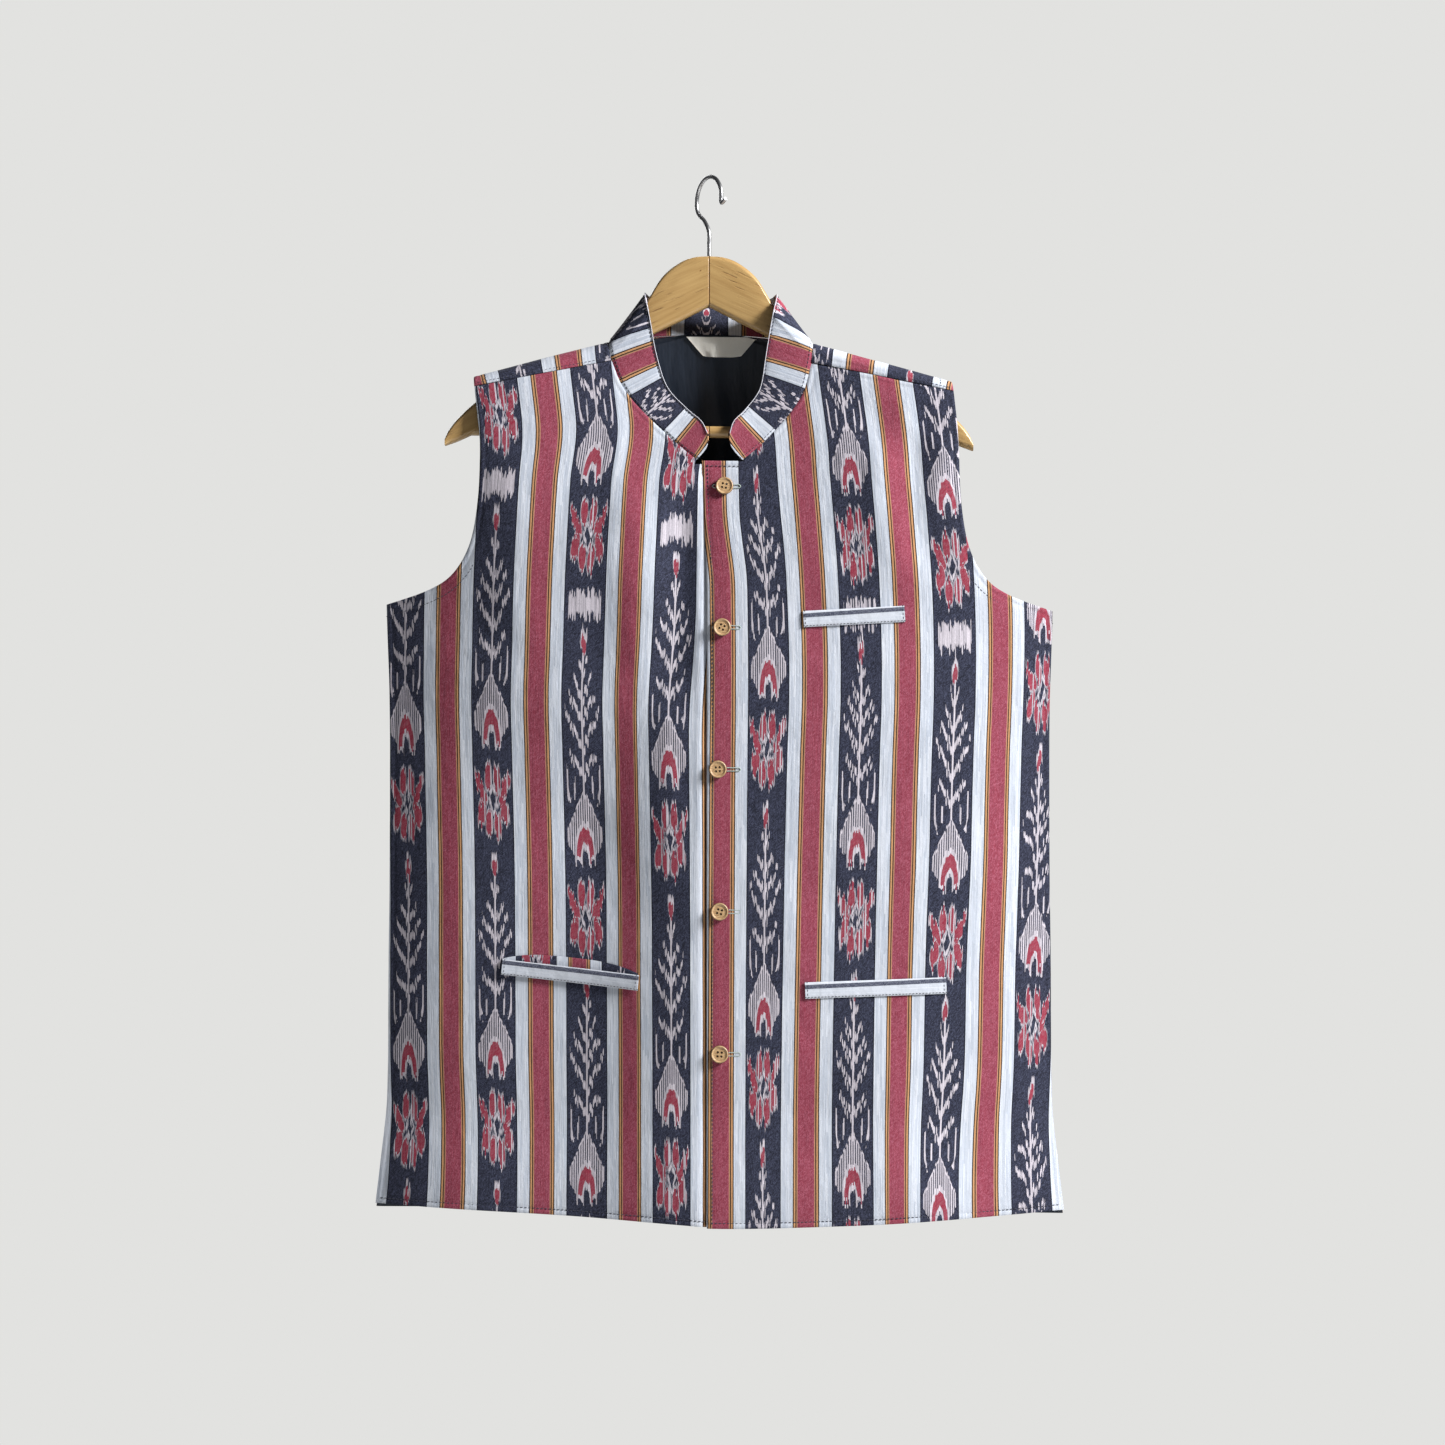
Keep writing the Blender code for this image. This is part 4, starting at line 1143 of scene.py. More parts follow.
@dataclass(frozen=True)
class StripeCloth:
    """Striped twill with an ikat motif in its dark columns."""

    name: str = "striped_ikat_cotton"
    navy: Colour = srgb(27, 29, 43)
    navy_fleck: Colour = srgb(70, 74, 96)
    line: Colour = srgb(18, 20, 36)
    grey: Colour = srgb(208, 212, 221)
    grey_thread: Colour = srgb(172, 180, 194)
    dark: Colour = srgb(50, 32, 28)
    tan: Colour = srgb(186, 140, 98)
    pink_tan: Colour = srgb(176, 130, 100)
    red: Colour = srgb(132, 50, 67)
    red_fleck: Colour = srgb(164, 94, 112)
    pale: Colour = srgb(202, 195, 204)
    petal: Colour = srgb(140, 42, 62)
    cords: tuple[float, ...] = (27.9, 28.8, 30.2, 31.1)
    roughness: float = 0.86
    sheen: float = 0.03
    warp: float = 0.9
    margin: float = 0.6

    def build(self, ikat: Ikat) -> Material:
        """Makes the material, with the motif that it is given."""
        graph = Graph(self.name)
        across, along = graph.layer("threads")
        down, bar = graph.layer("motif")
        half = 0.5 * STRIPES.period
        off = graph.math("PINGPONG", across, half)
        stops = [(0.0, self.navy), (STRIPES.line, self.line), (STRIPES.grey, self.grey)]
        stops += list(zip(self.cords, (self.dark, self.tan, self.dark, self.pink_tan)))
        stops.append((STRIPES.red, self.red))
        stripes = graph.bands(off / half, [(at / half, colour) for at, colour in stops])
        warp = graph.speckle(across / self.warp)
        twill = graph.speckle((across - along) / 0.75, (across + along) / 3.2)
        grain = graph.speckle(across / 0.6, along / 0.9)
        column = off < STRIPES.line
        red_band = off > STRIPES.red
        colour = graph.mix((twill * 0.55 + (grain > 0.72) * 0.45) * column * 0.85, stripes, self.navy_fleck)
        colour = graph.mix((twill * 0.4 + (grain > 0.7) * 0.35) * red_band, colour, self.red_fleck)
        light = (off > STRIPES.grey) * (off < STRIPES.cord)
        threads = graph.speckle(across / 1.1, along / 34.0 + graph.speckle(across / 1.1) * 9.0)
        colour = graph.mix((threads * 0.75 + grain * 0.2) * light, colour, self.grey_thread)
        pale, red = ikat.draw(off, down, bar, across)
        inside = off < STRIPES.line - self.margin
        colour = graph.mix(pale * inside * (0.60 + warp * 0.40), colour, self.pale)
        colour = graph.mix(red * inside * (0.88 + twill * 0.12), colour, self.petal)
        slow = graph.noise(graph.vector(across * 0.02, along * 0.006), 1.0, 3.0)
        slub = graph.noise(graph.vector(across * 1.1, along * 0.05), 1.0, 2.0)
        shade = 0.84 + warp * 0.08 + grain * 0.12 + (slow - 0.5) * 0.14 + (slub - 0.5) * 0.14
        colour = graph.mix(1.0, colour, graph.vector(shade, shade, shade), "MULTIPLY")
        crumple = graph.noise(graph.vector(across * 0.05, along * 0.03), 1.0, 4.0)
        graph.bump(twill * 0.25 + slub * 0.9 + crumple * 6.0, 0.00022)
        return graph.finish(
            colour, self.roughness, Specular_IOR_Level=0.2, Sheen_Weight=self.sheen, Sheen_Roughness=0.5
        )


@dataclass(frozen=True)
class PaleCloth:
    """The grey-blue stripe as the pocket welts are cut from it, with its dark band."""

    name: str = "pale_stripe_cotton"
    colour: Colour = srgb(208, 212, 221)
    thread: Colour = srgb(172, 180, 194)
    band: Colour = srgb(58, 62, 82)
    band_height: float = 3.5
    roughness: float = 0.85

    def build(self) -> Material:
        """Makes the material."""
        graph = Graph(self.name)
        across, along = graph.layer("threads")
        from_band, _ = graph.layer("motif")
        lines = graph.speckle(along / 0.8, across / 40.0)
        grain = graph.speckle(across / 0.8, along / 0.6)
        colour = graph.mix(lines * 0.4 + grain * 0.2, self.colour, self.thread)
        band = (from_band > 0.0) * (from_band < self.band_height)
        colour = graph.mix(band * (0.8 + grain * 0.2), colour, self.band)
        weave = graph.speckle((across - along) / 0.7, (across + along) / 2.6)
        graph.bump(weave * 0.4 + graph.noise(graph.vector(across * 0.1, along * 0.1), 1.0) * 4.0, 0.0002)
        return graph.finish(colour, self.roughness, Specular_IOR_Level=0.2, Sheen_Weight=0.03)


@dataclass(frozen=True)
class Satin:
    """The dark satin of the lining."""

    name: str = "satin_lining"
    colour: Colour = srgb(22, 30, 42)
    lit: Colour = srgb(36, 46, 62)
    roughness: float = 0.42

    def build(self) -> Material:
        """Makes the material."""
        graph = Graph(self.name)
        across, along = graph.layer("threads")
        threads = graph.speckle(across / 0.5)
        slow = graph.noise(graph.vector(across * 0.06, along * 0.012), 1.0, 3.0)
        # Paints a sheen: the lit colour rises with the slow noise that also bumps up the soft folds, mixed
        # with thread tone.
        colour = graph.mix(threads * 0.3 + slow * 0.5, self.colour, self.lit)
        rows = graph.math("SINE", along * 9.0)
        graph.bump(rows * 0.15 + slow * 8.0, 0.0002)
        return graph.finish(
            colour, self.roughness, Specular_IOR_Level=0.55, Sheen_Weight=0.25, Sheen_Roughness=0.35
        )


@dataclass(frozen=True)
class LabelTape:
    """The cream tape of the blank label."""

    name: str = "label_tape"
    colour: Colour = srgb(250, 247, 238)
    shade: Colour = srgb(206, 198, 182)
    roughness: float = 0.7

    def build(self) -> Material:
        """Makes the material."""
        graph = Graph(self.name)
        across, along = graph.layer("threads")
        ribs = graph.math("SINE", along * 11.0)
        grain = graph.speckle(across / 0.4, along / 0.57)
        colour = graph.mix(grain * 0.12 + (ribs > 0.6) * 0.12, self.colour, self.shade)
        graph.bump(ribs * 0.5 + grain * 0.3, 0.00015)
        return graph.finish(colour, self.roughness, Specular_IOR_Level=0.4, Sheen_Weight=0.1)


@dataclass(frozen=True)
class Pine:
    """Varnished pale wood, with its grain along one direction.

    Attributes:
        name: The name of the finish.
        fall: How much the grain drops for each metre along +X.
        seed: Sets one board apart from another.
    """

    name: str
    fall: float
    seed: float
    light: Colour = srgb(188, 155, 102)
    dark: Colour = srgb(142, 106, 60)
    pore: Colour = srgb(112, 74, 40)
    roughness: float = 0.34

    def build(self) -> Material:
        """Makes the material."""
        graph = Graph(self.name)
        x, y, z = graph.place()
        across = z + x * self.fall
        waver = graph.noise(graph.vector(x * 6.0, across * 20.0, y * 6.0 + self.seed), 1.0, 2.0)
        rings = (across * 150.0 + waver * 11.0 + y * 40.0).wrapped(1.0)
        rings = graph.smooth(abs(rings - 0.5) * 2.0, 0.2, 1.0)
        cloud = graph.noise(graph.vector(x * 16.0, across * 40.0, self.seed), 1.0, 3.0)
        streak = graph.noise(graph.vector(x * 26.0, across * 700.0, y * 500.0 + self.seed), 1.0, 3.0)
        dash = graph.noise(graph.vector(x * 55.0, across * 420.0, y * 300.0 + self.seed), 1.0, 2.0)
        dash = graph.smooth(dash, 0.60, 0.72) * graph.smooth(cloud, 0.40, 0.62)
        colour = graph.mix(rings * 0.16 + streak * 0.6 + (cloud - 0.5) * 0.9 - 0.06, self.light, self.dark)
        colour = graph.mix(dash * 0.6, colour, self.pore)
        knots = graph.noise(graph.vector(x * 210.0, across * 260.0, self.seed), 1.0, 1.0)
        knots = graph.smooth(knots, 0.76, 0.80) * graph.smooth(z, -0.090, -0.078)
        joint = graph.smooth(abs(x), 0.0008, 0.0002)
        colour = graph.mix(knots.most(joint) * 0.8, colour, self.pore)
        wear = graph.noise(graph.vector(x * 12.0, y * 12.0, z * 12.0), 1.0, 3.0)
        graph.bump(streak * 0.5 - dash * 1.2 - joint * 2.0, 0.0002)
        return graph.finish(
            colour, self.roughness + (wear - 0.5) * 0.2, Coat_Weight=0.25, Coat_Roughness=0.18
        )


@dataclass(frozen=True)
class ButtonWood:
    """Turned wood, with a darker rim that is partly the wood's own and partly painted shade, a darker ring at
    its groove and painted shade down its holes; its coordinates are the place on the button.
    """

    name: str = "turned_button_wood"
    light: Colour = srgb(200, 168, 124)
    dark: Colour = srgb(152, 112, 74)
    # Dark brown of the rim and the hole walls: partly the wood's darker rim, partly painted shade.
    rim: Colour = srgb(58, 36, 22)
    rim_from: float = 6.6

    def build(self) -> Material:
        """Makes the material."""
        graph = Graph(self.name)
        across, along = graph.layer("threads")
        seed, depth = graph.layer("motif")
        grain = graph.noise(graph.vector(across * 0.35 + seed, along * 1.9, seed), 1.0, 4.0)
        rings = graph.noise(graph.vector(across * 0.12 + seed, along * 0.7, seed + 9.0), 2.0, 1.0)
        colour = graph.mix(graph.smooth(grain * 0.6 + rings * 0.4, 0.35, 0.68), self.light, self.dark)
        radius = graph.math("SQRT", across * across + along * along)
        edge = graph.smooth(radius, self.rim_from, self.rim_from + 1.0)
        turned = graph.math("SINE", radius * 6.0)
        groove = graph.smooth(abs(radius - 5.15), 0.45, 0.0) * 0.2
        # Paints shade: the rim darkens towards the edge, partly as painted shade, and points deeper than 0.3
        # mm in a hole take the dark colour as painted shade.
        colour = graph.mix((edge * 0.85).most(groove).most(depth > 0.3), colour, self.rim)
        graph.bump(grain * 0.8 + turned * 0.3, 0.0001)
        return graph.finish(colour, 0.42 + grain * 0.15, Coat_Weight=0.15, Coat_Roughness=0.25)


@dataclass(frozen=True)
class Steel:
    """The bright drawn wire of the hook."""

    name: str = "hook_steel"
    colour: Colour = srgb(188, 188, 190)
    tarnish: Colour = srgb(120, 116, 112)

    def build(self) -> Material:
        """Makes the material."""
        graph = Graph(self.name)
        x, y, z = graph.place()
        spots = graph.noise(graph.vector(x * 300.0, y * 300.0, z * 90.0), 1.0, 4.0)
        stain = graph.smooth(spots, 0.5, 0.75)
        colour = graph.mix(stain * 0.7, self.colour, self.tarnish)
        graph.bump(spots, 0.00002)
        return graph.finish(colour, 0.34 + stain * 0.2, Metallic=1.0)


@dataclass(frozen=True)
class Thread:
    """Sewing thread of one colour, twisted."""

    name: str
    colour: Colour

    def build(self) -> Material:
        """Makes the material."""
        graph = Graph(self.name)
        x, y, z = graph.place()
        twist = graph.noise(graph.vector(x * 2500.0, y * 2500.0, z * 2500.0), 1.0, 2.0)
        darker = tuple(0.55 * channel for channel in self.colour[:3]) + (1.0,)
        graph.bump(twist, 0.0001)
        return graph.finish(graph.mix(twist, self.colour, darker), 0.7, Sheen_Weight=0.2)


class Workshop:
    """Every finish, made once."""

    def __init__(self) -> None:
        """Makes the finishes."""
        self.stripe = StripeCloth().build(Ikat())
        self.pale = PaleCloth().build()
        self.satin = Satin().build()
        self.label = LabelTape().build()
        self.button = ButtonWood().build()
        self.pine_left = Pine("pine_left", 0.42, 1.7).build()
        self.pine_right = Pine("pine_right", -0.42, 6.1).build()
        self.pine_bar = Pine("pine_bar", 0.01, 3.9).build()
        self.steel = Steel().build()
        self.dark_thread = Thread("dark_thread", srgb(34, 36, 58)).build()
        self.light_thread = Thread("light_thread", srgb(176, 190, 184)).build()
        self.pale_thread = Thread("pale_thread", srgb(206, 206, 216)).build()


class Stitcher:
    """Sews rows of stitches along lines, with a node tree built once."""

    def __init__(self) -> None:
        """Builds the tree: a line in, a row of short rounded stitches out."""
        self.tree = bpy.data.node_groups.new("stitch_row", "GeometryNodeTree")
        sockets = {"Line": "Geometry", "Pitch": "Float", "Stitch Length": "Float", "Thread Radius": "Float"}
        self.inputs = {}
        for name, kind in {**sockets, "Thread": "Material"}.items():
            socket = self.tree.interface.new_socket(name, in_out="INPUT", socket_type=f"NodeSocket{kind}")
            self.inputs[name] = socket.identifier
        self.tree.interface.new_socket("Stitches", in_out="OUTPUT", socket_type="NodeSocketGeometry")
        new = self.tree.nodes.new
        given, out = new("NodeGroupInput"), new("NodeGroupOutput")
        curve, even = new("GeometryNodeMeshToCurve"), new("GeometryNodeResampleCurve")
        even.mode = "LENGTH"
        tangent, turn = new("GeometryNodeInputTangent"), new("FunctionNodeAlignRotationToVector")
        turn.axis = "Z"
        ball, spread = new("GeometryNodeMeshUVSphere"), new("GeometryNodeInstanceOnPoints")
        for name, value in (("Segments", 6), ("Rings", 5), ("Radius", 1.0)):
            ball.inputs[name].default_value = value
        size, half = new("ShaderNodeCombineXYZ"), new("ShaderNodeMath")
        half.operation = "MULTIPLY"
        half.inputs[1].default_value = 0.5
        real, finish = new("GeometryNodeRealizeInstances"), new("GeometryNodeSetMaterial")
        for source, output, target, entry in (
            (given, "Line", curve, "Mesh"), (curve, "Curve", even, "Curve"), (given, "Pitch", even, "Length"),
            (tangent, 0, turn, "Vector"), (given, "Stitch Length", half, 0),
            (given, "Thread Radius", size, 0), (given, "Thread Radius", size, 1), (half, 0, size, 2),
            (even, "Curve", spread, "Points"), (ball, "Mesh", spread, "Instance"),
            (turn, 0, spread, "Rotation"), (size, 0, spread, "Scale"), (spread, 0, real, 0),
            (real, 0, finish, "Geometry"), (given, "Thread", finish, "Material"), (finish, 0, out, 0),
        ):
            self.tree.links.new(source.outputs[output], target.inputs[entry])

    def sew(
        self, name: str, lines: Sequence[Array], thread: Material, pitch: float = 0.0034,
        length: float = 0.0026, radius: float = 0.00036,
    ) -> Object:
        """Sews stitches along lines and makes them one plain mesh.

        Args:
            name: The name of the piece.
            lines: The lines, each with its points in space.
            thread: The thread's finish.
            pitch: From one stitch to the next.
            length: How long a stitch is.
            radius: How thick it is from its middle.

        Returns:
            The piece of stitches.
        """
        points, edges = [], []
        for line in lines:
            start = len(points)
            points += [tuple(point) for point in line]
            edges += [(start + i, start + i + 1) for i in range(len(line) - 1)]
        guide = show(f"{name}_guide", new_mesh(f"{name}_guide", points, [], edges))
        modifier = guide.modifiers.new("stitches", "NODES")
        modifier.node_group = self.tree
        settings = {"Pitch": pitch, "Stitch Length": length, "Thread Radius": radius, "Thread": thread}
        for setting, value in settings.items():
            modifier[self.inputs[setting]] = value
        graph = bpy.context.evaluated_depsgraph_get()
        mesh = bpy.data.meshes.new_from_object(guide.evaluated_get(graph))
        mesh.shade_smooth()
        guide.modifiers.remove(modifier)
        bpy.data.objects.remove(guide)
        return put_on(show(name, mesh), None)


@dataclass(frozen=True)
class Neckline:
    """The neck seam and the free edge of the collar over it, from centre back to centre front.

    A row is the face (-1 back, 0 ridge, 1 front), x and z on the seam, and the place of the
    collar's free edge before the jacket is set off the hanger's centre.
    """

    yoke_row: int = 6
    rows: tuple[tuple[float, ...], ...] = (
        (-1, 0.0000, -0.1310, 0.0000, 0.0380, -0.1060), (-1, 0.0300, -0.1320, 0.0220, 0.0370, -0.1050),
        (-1, 0.0550, -0.1345, 0.0420, 0.0310, -0.1015), (-1, 0.0760, -0.1385, 0.0530, 0.0180, -0.0985),
        (0, 0.0865, -0.1395, 0.0560, -0.0030, -0.0985), (1, 0.0855, -0.1500, 0.0530, -0.0160, -0.1140),
        (1, 0.0843, -0.1565, 0.0511, -0.0165, -0.1240), (1, 0.0770, -0.1790, 0.0457, -0.0170, -0.1545),
        (1, 0.0640, -0.1980, 0.0390, -0.0180, -0.1795), (1, 0.0440, -0.2190, 0.0250, -0.0205, -0.1970),
        (1, 0.0290, -0.2325, 0.0140, -0.0240, -0.2075), (1, 0.0195, -0.2400, 0.0098, -0.0265, -0.2170),
    )

    def arcs(self, rows: Sequence[Sequence[float]], steps: int) -> Array:
        """Returns the seam in x and arc through some of the rows."""
        corners = []
        for face, x, z, *_ in rows:
            side = Face.FRONT if face > 0 else Face.BACK
            arc = float(DRAPE.arc_on(side, np.array([x]), np.array([z]))[0])
            corners.append((x, arc if face else 0.0))
        return spline(np.array(corners), steps)

    def tops(self, steps: int) -> Array:
        """Returns the free edge before it is hung."""
        return spline(np.array([row[3:] for row in self.rows]), steps)

    def front(self, steps: int) -> Array:
        """Returns the seam on a front in x and z, from the shoulder strip to the centre."""
        return spline(np.array([row[1:3] for row in self.rows[self.yoke_row :]]), steps)


NECKLINE = Neckline()


@dataclass(frozen=True)
class JacketCut:
    """The outlines that the fronts and the back share."""

    cloth: float = 0.0016
    shoulder_end: float = 0.202
    armpit_z: float = -0.365
    yoke_end_z: float = -0.180
    slack: float = 0.0003
    stitch_inset: float = 0.0046
    armhole_inset: float = 0.0100
    stitch_sink: float = 0.00022
    stitch_step: float = 0.004
    rings: tuple[float, ...] = (0.0008, 0.0023, 0.0036, 0.0046, 0.0058, 0.0082)
    armhole: tuple[tuple[float, float], ...] = (
        (0.2018, -0.208), (0.2015, -0.231), (0.2030, -0.274), (0.2096, -0.312), (0.2239, -0.338),
        (0.2450, -0.3525), (0.2814, -0.365),
    )

    def armhole_edge(self, steps: int = 8) -> Array:
        """Returns the armhole in x and z, from below the shoulder to the armpit."""
        return spline(np.array(self.armhole), steps)

    def side_edge(self, bottom_z: float) -> Array:
        """Returns the side seam in x and z, from the armpit to the hem."""
        heights = np.linspace(self.armpit_z, bottom_z, 60)[1:]
        return pair(np.full(len(heights), DRAPE.chest_half), heights)

    def strip_seam(self, x: Array) -> Array:
        """Returns the height of the seam between the shoulder strip and the front."""
        _, neck_x, neck_z, *_ = NECKLINE.rows[NECKLINE.yoke_row]
        return np.interp(x, [neck_x, self.shoulder_end], [neck_z, self.yoke_end_z])


CUT = JacketCut()


def mirrored(points: Array) -> Array:
    """Returns an outline's mirror image, with its direction kept."""
    return points[::-1] * np.array([-1.0, 1.0])


def seam_relief(cut: Cut) -> Array:
    """Rounds a cut's edge over and draws the cloth in along its stitch line.

    Args:
        cut: The cut.

    Returns:
        How far each point lies below the cloth's plain surface.
    """
    rounding = 0.00045 * np.exp(-((cut.edge / 0.0007) ** 2))
    drawn = 0.00032 * np.exp(-(((cut.edge - CUT.stitch_inset) / 0.0011) ** 2))
    at_side = smooth_step((np.abs(cut.points[:, 0]) - DRAPE.chest_half + 0.004) / 0.003)
    return (rounding + drawn) * (1.0 - at_side)


def ripple(points: Array, size: float = 0.0007, wave: float = 0.055) -> Array:
    """Returns a slow, even unevenness of hung cloth, the same each time."""
    return size * np.array([noise.noise(Vector((*point, 0.0)) / wave) for point in points])


def stitch_lines(surface: Surface, outward: Face, rows: Sequence[Array]) -> list[Array]:
    """Lays rows of stitches on a surface, sunk in a little.

    Args:
        surface: The surface of the cloth's right side.
        outward: Which way its right side looks.
        rows: The rows, flat in the cloth.

    Returns:
        The rows in space.
    """
    return [surface(row) - outward_normals(surface, row, outward) * CUT.stitch_sink for row in rows]


def lay_panel(
    name: str, cut: Cut, surface: Surface, outward: Face, weave: Weave, materials: Sequence[Material],
    thickness: float, sink: Array,
) -> Object:
    """Lays a cut on a surface and closes it as a wall.

    Args:
        name: The name of the piece.
        cut: The flat cut.
        surface: The surface of its right side.
        outward: Which way its right side looks.
        weave: The cloth's coordinates.
        materials: The finish of its right side and of its wrong side.
        thickness: The thickness of the cloth.
        sink: How far each point lies inside the surface.

    Returns:
        The piece.
    """
    flat = cut.points.copy()
    limit = DRAPE.chest_half - 0.0006
    probe = pair(np.clip(flat[:, 0], -limit, limit), flat[:, 1])
    normal = outward_normals(surface, probe, outward)
    plain = surface(flat)
    outer = plain - normal * sink[:, None]
    inner = outer - normal * thickness
    middle = DRAPE.middle_y(flat[:, 0])
    near_side = smooth_step((np.abs(flat[:, 0]) - DRAPE.chest_half + 0.030) / 0.004)
    clear = 0.5 * DRAPE.seam_gap
    facing = np.sign(normal[:, 1] + 1e-9)
    bound = middle + facing * clear
    held = np.where(facing < 0.0, np.minimum(inner[:, 1], bound), np.maximum(inner[:, 1], bound))
    inner[:, 1] = np.where(near_side > 0.5, held, inner[:, 1])
    return build_wall(name, outer, inner, cut.faces, weave, materials)


@dataclass
class Fronts:
    """The two fronts: the wearer's left laps over the right."""

    shop: Workshop
    stitcher: Stitcher
    step: float = 0.0055
    hem_drop: float = 0.014
    lap_edge: float = -0.0108
    lap_turn: float = 0.0040
    turn_from_z: float = -0.360
    lap_top_z: float = -0.2413
    lap_hem_power: float = 1.6
    under_edge: float = -0.024
    under_top_z: float = -0.2443
    under_hem_power: float = 0.8
    neck_margin: float = 0.0015
    top_row: float = 0.026
    seam_sink: float = 0.0007
    seam_fade: float = 0.006
    seam_from_x: float = 0.08

    def outline(self, edge_x: float, top_z: float, power: float, turn: float) -> dict[str, Array]:
        """Returns the sides of a front on the +X side, in order round it."""
        neck = NECKLINE.front(8)
        xs = np.linspace(DRAPE.chest_half, edge_x, 70)
        share = np.minimum(np.abs(xs) / DRAPE.chest_half, 1.0) ** power
        hem = pair(xs, DRAPE.hem_side_z - self.hem_drop * (1.0 - share))
        corner = np.array([[neck[-1][0] + self.neck_margin, top_z]])
        return {
            "yoke": np.array([neck[0] - (0.0, CUT.slack), (CUT.shoulder_end, CUT.yoke_end_z - CUT.slack)]),
            "armhole": CUT.armhole_edge(), "side": CUT.side_edge(DRAPE.hem_side_z)[:-1], "hem": hem,
            "edge": self.turned(edge_x, top_z, turn), "neck": np.vstack([corner, neck[:0:-1]]),
        }

    def turned(self, x: float, top_z: float, turn: float) -> Array:
        """Returns the upper part of a front edge, which turns aside towards the neck."""
        share = np.linspace(0.0, 1.0, 6)
        z = self.turn_from_z + (top_z - self.turn_from_z) * share
        return pair(x - turn * smooth_step(share), z)

    def make(self, name: str, side: Side, sides: dict[str, Array], surface: Surface) -> Object:
        """Makes one front with its topstitching."""
        outline = np.vstack(list(sides.values()))
        if side is Side.RIGHT:
            outline = mirrored(outline)
        cut = cut_cloth(outline, self.step, CUT.rings)
        sink = seam_relief(cut) + ripple(cut.points)
        x, z = np.abs(cut.points[:, 0]), cut.points[:, 1]
        below = np.clip((CUT.strip_seam(x) - z) / self.seam_fade, 0.0, 9.0)
        sink += self.seam_sink * np.exp(-below) * (x > self.seam_from_x)
        weave = FrontPattern().weave(side, cut.points)
        piece = lay_panel(
            name, cut, surface, Face.FRONT, weave, [self.shop.stripe, self.shop.satin], CUT.cloth, sink
        )
        put_on(piece, "stripe_cloth", name)
        self.topstitch(name, side, sides, surface)
        return piece

    def topstitch(self, name: str, side: Side, sides: dict[str, Array], surface: Surface) -> None:
        """Sews the hem, the armhole and, on the lap, the front edge."""
        rows = [
            inset_line(resample(sides["hem"], CUT.stitch_step), CUT.stitch_inset)[2:-2],
            inset_line(resample(sides["armhole"], CUT.stitch_step), CUT.armhole_inset)[:-3],
        ]
        if side is Side.LEFT:
            x = self.lap_edge + CUT.stitch_inset
            bottom = float(sides["hem"][-1][1]) + CUT.stitch_inset
            top = self.lap_top_z - CUT.stitch_inset
            edge = np.vstack([[x, bottom], self.turned(x, top, self.lap_turn)])
            rows.append(resample(edge, CUT.stitch_step))
            x -= self.lap_turn
            rows.append(resample(np.array([[x, top], [x + self.top_row, top]]), CUT.stitch_step))
        if side is Side.RIGHT:
            rows = [mirrored(row) for row in rows]
        lines = stitch_lines(surface, Face.FRONT, rows)
        self.stitcher.sew(f"{name}_topstitch", lines, self.shop.dark_thread)

    def build(self) -> None:
        left = self.outline(self.lap_edge, self.lap_top_z, self.lap_hem_power, self.lap_turn)
        lap = self.make("front_left", Side.LEFT, left, DRAPE.front)
        right = self.outline(self.under_edge, self.under_top_z, self.under_hem_power, 0.0)
        under = self.make("front_right", Side.RIGHT, right, DRAPE.under_front)


